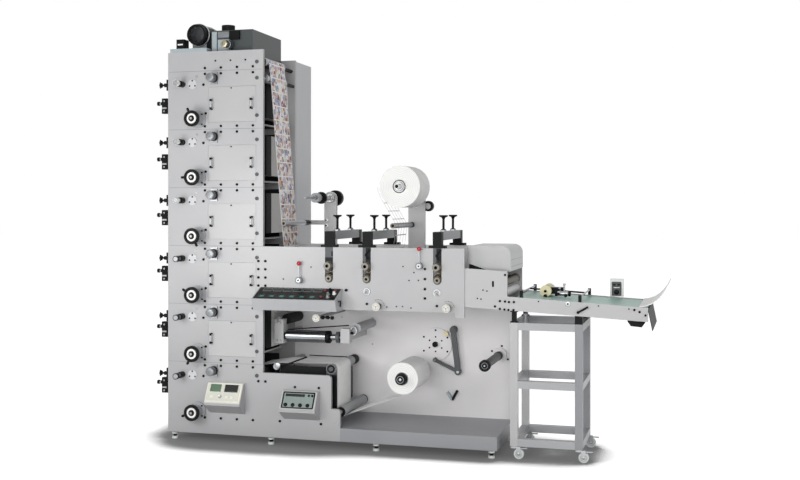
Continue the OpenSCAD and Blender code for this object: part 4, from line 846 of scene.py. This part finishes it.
# bay: bright guide roller with black ends, blocks in frame paint, a ring hook and small parts
guideMid = np.array([0.0, 220.0, 720.0])
feedLow, feedHigh = (1240, 242), (1174, 526)  # x and z of the two rollers that lead the web into the bay
paintFaces("web_guide", chrome, lambda f: (np.hypot(f.y - guideMid[1], f.z - guideMid[2]) < 43) & (np.abs(f.nx) < 0.5))
paintFaces("web_guide", coverEnamel, lambda f: (f.x < 785) | (f.x > 1192))
addPiece("guideEnds", [
    turnedAt([(24, 0), (24, 24), (22, 26)], 28, guideMid + (776, 0, 0), blackOxide, "right"),
    turnedAt([(42.6, 0), (42.6, 26), (38, 30), (24, 32)], 40, guideMid + (1086, 0, 0), blackOxide, "right"),
    ringAt(20.2, 38, 24, 36, guideMid + (1160, 0, 0), darkCast, "right"),
    screwsAt(6, 5, grid([735, 760], [190], [690, 812]), zincSteel),
    ringAt(8, 16, 6, 24, (747, 190, 834), zincSteel),
])
hookBend = [(1262, 776), (1272, 792), (1292, 792), (1302, 770), (1296, 748), (1280, 738)]
addPiece("guideHook", [
    rod(smoothPath(onFace(hookBend, 215), 36), 7, zincSteel),
    turnedAt([(9, 0), (9, 16), (7, 18)], 18, (1262, 215, 752), blackOxide, "right"),
])
addPiece("feedEnds", [
    ringAt(14.2, 33, 8, 36, onFace([feedLow, feedHigh], 66), blackOxide),
    ringAt(14.2, 33, 16, 36, onFace([feedLow, feedHigh], 572), blackOxide),
    ringAt(29, 33.4, 2, 36, onFace([feedHigh], 58), hammerEnamel),
    ringAt(31, 34.6, 70, 36, onFace([feedHigh], 560), blackOxide),
    turnedAt([(14.4, 0), (14.4, 1), (5, 1.5)], 28, onFace([feedHigh], 48), darkCast),
    rod([(1214, 386, 505), (1214, 386, 400), (1214, 386, 286)], 4.5, blackOxide),
    rod([(900, 386, 566), (1040, 386, 565), (1180, 386, 564)], 3.5, blackOxide, (0, 0, 1)),
    rod([(806, 52, 532), (865, 58, 548), (1002, 60, 600)], 5.5, blackOxide, (0, 0, 1)),
    rod([(795, 240, 760), (1030, 240, 782), (1240, 240, 801)], 4, blackOxide),
    turnedAt([(12, 0), (20, 4), (22, 12), (20, 20), (12, 24)], 28, (800, 48, 540), zincSteel),
])
paintFaces("idler_rollers", castEnamel, lambda f: (f.z < 850) & (f.x > 1000) & (f.x < 1400))
paintFaces("idler_rollers", blackOxide, lambda f: (f.z > 2400) & (f.y > 380))

# dark guard behind the lower plate, under the web, and the rubber roller above the bay
guard = {"y": 73, "thick": 3, "x": (714, 1210), "z": (bedTop, 486), "stepX": (808, 1134), "stepZ": (486, 536)}
bayRoller = [(12, 0), (12, 26), (34, 28), (36, 30), (36, 270), (34, 272), (12, 274), (12, 290)]


def guardPlate(x, z):
    # a sheet of the guard between two x and two z
    place = (sum(x) / 2, guard["y"], sum(z) / 2)
    return plateAt(x[1] - x[0], z[1] - z[0], 2, guard["thick"], place, blackOxide)


addPiece("feedGuard", [
    guardPlate(guard["x"], guard["z"]),
    guardPlate(guard["stepX"], guard["stepZ"]),
    turnedAt(bayRoller, 36, (748, 600, 822), blackRubber),
])

# idlers on the posts: bushes with black holes and black sleeves
postIdlers = [(825, 1499), (1597, 1487)]
addPiece("idlerEnds", [
    ringAt(10, 18.4, 5, 32, onFace(postIdlers, 84), bushBronze),
    discAt(10.2, 1, 24, onFace(postIdlers, 84), blackOxide),
    ringAt(18.1, 19.2, 84, 36, onFace(postIdlers[:1], 560), blackOxide),
    ringAt(18.1, 19.2, 40, 36, onFace(postIdlers[1:], 574), blackOxide),
])


def ribbon(path, y0, y1, thick):
    # a sheet of even thickness: the path in x and z, offset to both sides along its normal, drawn from y0 to y1
    path = np.array(path, float)
    slope = np.gradient(path, axis=0)
    normal = np.stack([-slope[:, 1], slope[:, 0]], -1) / np.linalg.norm(slope, axis=1)[:, None]
    left, right = path + normal * thick / 2, path - normal * thick / 2
    x, z = np.stack([left, left, right, right], 1).transpose(2, 0, 1)
    y = np.broadcast_to(np.array([y0, y1, y1, y0], float), x.shape)
    return skin(np.stack([x, y, z], -1))


def wasteRun(roll, idler, end):
    # a taut web from the left of the roll across to the right of the idler and down to the end: the crossing
    # tangent stands off the line of centres by the angle whose cosine is the sum of the radii over their distance
    (ax, az, ar), (bx, bz, br) = roll, idler
    off = math.atan2(bz - az, bx - ax) - math.acos((ar + br) / math.hypot(bx - ax, bz - az))
    a, b = np.linspace(off - 0.5, off, 12), np.linspace(off + math.pi, off + math.pi - 0.6, 12)
    leaving = np.stack([ax + ar * np.cos(a), az + ar * np.sin(a)], -1)
    turning = np.stack([bx + br * np.cos(b), bz + br * np.sin(b)], -1)
    return np.concatenate([leaving, turning, [end]])


# the waste is the skeleton left of the web after the labels are cut out: narrow strips along it and across it, drawn
# grey as painted shade on the white paper
waste = {
    "roll": (1630, 1748, 141.5), "idler": (1597, 1487, 20.0), "end": (1576, 1190),
    "strips": (95, 164, 233, 302, 371), "stripWidth": 4.0, "rungs": (0.2, 0.5, 0.8), "rungShare": 0.02,
}
wastePath = wasteRun(waste["roll"], waste["idler"], waste["end"])
skeleton = [(ribbon(wastePath, y, y + waste["stripWidth"], 0.8), shadedWastePaper) for y in waste["strips"]]
wasteEdge = waste["strips"][-1] + waste["stripWidth"]
for part in waste["rungs"]:
    for a, b in ((wastePath[11], wastePath[12]), (wastePath[-2], wastePath[-1])):
        rung = a + (b - a) * np.array([[part], [part + waste["rungShare"]]])
        skeleton.append((ribbon(rung, waste["strips"][0], wasteEdge, 0.6), shadedWastePaper))
addPiece("wasteWeb", skeleton)
addPiece("brakeRim", [
    ringAt(22, 36.6, 12, 36, (1705, 612, 1617), blackOxide),
    ringAt(30, 37.2, 34, 36, (1705, 640, 1617), blackOxide),
])
print("bay dressed")

# delivery: screws on the front rail, slot, lever, air cylinder, switch panel, hood seams
railFace = 10
railScrews = [
    (2361, 1180), (2328, 1013), (2361, 1011), (2386, 1008), (2418, 1009), (2296, 978), (2328, 963), (2357, 960),
    (2383, 958), (2415, 958), (3167, 978), (3198, 966), (3234, 946),
]
railSmall = [(2574, 1016), (2948, 997), (3134, 983), (2218, 1081), (2244, 1075), (2182, 1026), (2205, 1023)]
addPiece("deliveryScrews", [
    screwsAt(7.5, 6, onFace(railScrews, railFace), blackOxide),
    screwsAt(4.5, 4, onFace(railSmall, railFace), blackOxide),
    turnedAt([(17, 0), (17, 4), (15, 5), (6, 5), (5, 3)], 28, (2759, railFace, 1005), zincSteel),
    discAt(5, 0.8, 16, (2759, 5, 1005), blackOxide),
    plateAt(13, 40, 6.4, 0.6, (2283, railFace, 1121), blackOxide),
    rod([(2823, -2, 954), (2854, -2, 972), (2885, -2, 990)], 6.5, blackOxide),
    turnedAt([(9, 0), (9, 14), (7, 16)], 20, (2823, railFace, 954), blackOxide),
])


def cutterRolls(f):
    # the two rollers under the cutter hood
    return (f.x > 2270) & (f.x < 2390) & (f.z > 1000)


paintFaces("idler_rollers", darkBronze, cutterRolls)
# the lower cutter roller and the inner face of the hood's back plate lie in shade and are painted pale: painted light
paintFaces("idler_rollers", wallEnamel, lambda f: cutterRolls(f) & (f.z < 1103))
paintFaces("cutter_hood", wallEnamel, lambda f: (f.ny < -0.9) & (f.y > 300))
paintFaces("hold_down_bars", rollerSteel, lambda f: (np.abs(f.ny) < 0.5) & (f.y > 60) & (f.y < 560))
hoodSide = boxOf("cutter_hood")[1][0]
hoodSeams = [(hoodSide, 352, 1270), (hoodSide, 352, 1226)]
addPiece("hoodSeams", [
    plateAt(484, 2.6, 0.6, 0.4, hoodSeams, hammerEnamel, "right", arc=3),
    plateAt(150, 62, 3, 2, (2184, 118, 1222), blackOxide),
])
airMid = np.array([2690.0, 351.0, 1040.0])
airHeads = [airMid + (-50, -44, 6), airMid + (36, -44, 6)]
airPorts = [airMid + (-26, -60, 4), airMid + (24, -60, -4)]
airBarrel = [(14, 0), (15, 2), (15, 86), (14, 88), (9, 88), (8, 80)]
airUnion = [(8, 0), (8, 5), (5, 6), (5, 26), (8, 27), (8, 32)]
addPiece("airCylinder", [
    turnedAt(airBarrel, 28, airMid + (-44, -44, 6), groundSteel, "right"),
    turnedAt([(18, 0), (18, 14), (16, 16)], 24, airHeads, blackOxide, "right"),
    turnedAt([(6, 0), (6, 40), (9, 42), (9, 50), (7, 52)], 18, airMid + (10, -44, 20), zincSteel, "up"),
    turnedAt([(5, 0), (5, 18), (11, 20), (11, 28), (9, 30)], 18, airPorts, blackOxide),
    turnedAt(airUnion, 6, airMid + (-18, -44, 18), zincSteel, tilted(50)),
])
hubProfile = [(9.5, 0), (12, 1), (12, 10), (10, 12), (5, 12), (4, 9)]
addPiece("wheelHubs", [turnedAt(hubProfile, 24, (2583, 262, 1030.7), blackOxide)])
switchMid = np.array([3014, 600, 1062.0])
switchKeys = [switchMid + (-15, -3, 28), switchMid + (15, -3, 28)]
addPiece("switchPanel", [
    plateAt(64, 94, 5, [(0, 0), (0, 2), (1, 3)], switchMid, darkCast),
    turnedAt([(17, 0), (17, 5), (14, 8), (8, 9)], 28, switchMid + (0, -3, -22), blackPhenolic),
    plateAt(18, 12, 2, [(0, 0), (0, 3), (1, 4)], switchKeys, blackPhenolic),
    plateAt(40, 5, 1, 1, switchMid + (0, -3, 8), dialWhite),
])
paintFaces("stacking_sheet", blackOxide, lambda f: f.z < 984)
paintFaces("control_boxes", whiteSheet, lambda f: f.x > 2900)
standMiddle = np.mean(boxOf("stand_posts"), axis=0)[0]
paintFaces("stand_posts", coverEnamel, lambda f: f.x < standMiddle)
jackProfile = [(19, 0), (19, 10), (9, 12), (9, 44), (16, 46), (16, 58), (12, 60)]
addPiece("screwJack", [turnedAt(jackProfile, 24, (2481, 84, 872), hammerEnamel, "up")])

# feet: pale pads, a bright collar and a black nut on each black stud; castors: pale wheels in zinc forks
paintFaces("levelling_feet", castorWheel, lambda f: f.z < 16.5)
rearFeet = boxOf("levelling_feet")[1][1] - 22
footSpots = np.concatenate([grid([24, 744, 1490, 2264], [59, 585], [0]), grid([24, 684], [rearFeet], [0])])
addPiece("footCollars", [
    ringAt(12.2, 21, 13, 28, footSpots + (0, 0, 33), dialWhite, "up"),
    ringAt(12.2, 18, 10, 6, footSpots + (0, 0, 46.6), blackOxide, "up"),
])
castorBolt = [(9, 0), (9, 4), (7, 5), (3, 5), (2.5, 3)]
for k in range(4):
    body = "castor_%d" % (k + 1)
    low, high = boxOf(body)
    middle = np.array([high[0] - 54, (low[1] + high[1]) / 2, 32])
    paintFaces(body, castorWheel, lambda f: (f.z < 66) & (np.abs(f.y - middle[1]) < 12.6))
    addPiece("castorTrim%d" % (k + 1), [
        turnedAt(castorBolt, 6, middle + (0, -16, 0), zincSteel),
        turnedAt(castorBolt, 6, middle + (0, 16, 0), zincSteel, "rear"),
        ringAt(19, 22, 0.8, 36, middle + (0, -12, 0), castEnamel),
    ], body)
print("delivery dressed")

# top of the tower: bright rim on the blower's inlet, pale panels, black cap and the brass valve of the drying hood
blowerMid = np.array([210.0, 6.0, 2801.0])
blowerDeck = 2706
paintFaces("blower", panelPale, lambda f: f.z < blowerDeck)
paintFaces("blower", hammerEnamel, lambda f: (f.z > blowerDeck) & (f.x > 150) & (f.x < 262) & (f.y > 48))
paintFaces("blower", blackOxide, lambda f: (f.z > blowerDeck) & ((f.y < 48) | (f.x > 262) | (f.x < 120)))
addPiece("blowerRim", [
    ringAt(70.5, 80, 12, 48, blowerMid + (0, 52, 0), groundSteel),
    ringAt(76.2, 79, 10, 48, blowerMid + (0, 180, 0), groundSteel),
    turnedAt([(57, 0), (20, 6), (8, 8)], 40, blowerMid + (0, 100, 0), darkCast),
    plateAt(40, 10, 2, 1, (82, 22, 2737), dialWhite),
])
hoodFace = 62
panelEdge = [(0, 0), (0, 3), (1, 4)]
valveProfile = [(20, 0), (20, 14), (26, 16), (26, 30), (22, 33), (14, 34), (12, 28)]
addPiece("hoodPanels", [
    plateAt(36, 142, 2, panelEdge, (322, hoodFace, 2750), panelPale),
    plateAt(96, 88, 2, panelEdge, (396, hoodFace, 2722), panelPale),
    plateAt(84, 40, 3, [(0, 0), (0, 12), (3, 14)], (394, hoodFace, 2798), hammerEnamel),
    plateAt(74, 62, 3, [(0, 0), (0, 18), (2, 20)], (476, hoodFace, 2792), blackOxide),
    turnedAt(valveProfile, 6, (440, -12, 2721), brass),
    ringAt(25.4, 31, 10, 32, (440, 6, 2721), groundSteel),
])
paintFaces("drying_hood", blackOxide, lambda f: f.z > 2829.5)
print("tower top dressed")


# studio: a white floor that keeps the shadow, a white surround, one broad light from the front and three weaker ones
studio = {"floorHalf": 40.0, "ambient": 0.25, "glow": 0.74, "glowInShadow": 0.06, "shadowReach": 0.45}


def seenDirectly(tree):
    # 1 for rays from the camera, from mirrors and through glass, which see the white surround
    path = addNode(tree, "LightPath").outputs
    both = addNode(tree, "Math", {0: path["Is Camera Ray"], 1: path["Is Glossy Ray"]}, operation="MAXIMUM").outputs[0]
    return addNode(tree, "Math", {0: both, 1: path["Is Transmission Ray"]}, operation="MAXIMUM").outputs[0]


half = studio["floorHalf"]
floorMesh = bpy.data.meshes.new("studioFloor")
floorMesh.from_pydata([(-half, -half, 0), (half, -half, 0), (half, half, 0), (-half, half, 0)], [], [(0, 1, 2, 3)])
floor = bpy.data.objects.new("studioFloor", floorMesh)
scene.collection.objects.link(floor)

# floor paint: clear is 0 in the shadow close to the machine and 1 away from it; it darkens the paint and its glow
floorPaint, tree, shader, place = newMaterial("floorPaint")
nearby = addNode(tree, "AmbientOcclusion", {"Distance": studio["shadowReach"]}, samples=32).outputs["AO"]
clear = addNode(
    tree, "MapRange", {"Value": nearby, "From Min": 0.72, "From Max": 0.96}, interpolation_type="SMOOTHSTEP"
).outputs["Result"]
shaded = colourRamp(tree, clear, [(0.0, linear("#757575")), (1.0, linear("#e6e6e6"))])
setInputs(tree, shader, {"Base Color": shaded, "Roughness": 0.8})
level = addNode(tree, "Math", {0: clear, 1: studio["glow"], 2: studio["glowInShadow"]}, operation="MULTIPLY_ADD")
glow = addNode(tree, "Emission", {"Color": (1, 1, 1, 1), "Strength": level.outputs[0]})
dark = addNode(tree, "Emission", {"Strength": 0.0})
shown = addNode(tree, "MixShader", {0: seenDirectly(tree), 1: dark.outputs[0], 2: glow.outputs[0]})
added = addNode(tree, "AddShader", {0: shader.outputs[0], 1: shown.outputs[0]})
setInputs(tree, tree.nodes["Material Output"], {"Surface": added.outputs[0]})
floorMesh.materials.append(floorPaint)

world = bpy.data.worlds.new("studioWorld")
scene.world = world
world.use_nodes = True
tree = world.node_tree
backdrop = tree.nodes["Background"]
setInputs(tree, backdrop, {"Color": (1, 1, 1, 1), "Strength": 1.0})
ambient = addNode(tree, "Background", {"Color": (1, 1, 1, 1), "Strength": studio["ambient"]})
mixed = addNode(tree, "MixShader", {0: seenDirectly(tree), 1: ambient.outputs[0], 2: backdrop.outputs[0]})
setInputs(tree, tree.nodes["World Output"], {"Surface": mixed.outputs[0]})


def addLamp(name, place, aim, size, power):
    # a square area lamp that faces a point
    lamp = bpy.data.lights.new(name, "AREA")
    lamp.size = size
    lamp.energy = power
    lampObject = bpy.data.objects.new(name, lamp)
    lampObject.location = place
    lampObject.rotation_euler = (Vector(aim) - Vector(place)).to_track_quat("-Z", "Y").to_euler()
    scene.collection.objects.link(lampObject)


addLamp("keyLight", (0.4, -7.5, 1.7), (-0.3, 0, 1.2), size=5.0, power=300)
addLamp("fillLight", (6.5, -3.0, 2.4), (0, 0, 1.2), size=4.0, power=100)
addLamp("towerLight", (-1.8, -2.8, 1.4), (-1.4, 0, 1.4), size=1.0, power=26)
addLamp("topLight", (-1.0, 1.0, 7.0), (0, 0, 1.0), size=4.0, power=40)
print("studio lit")
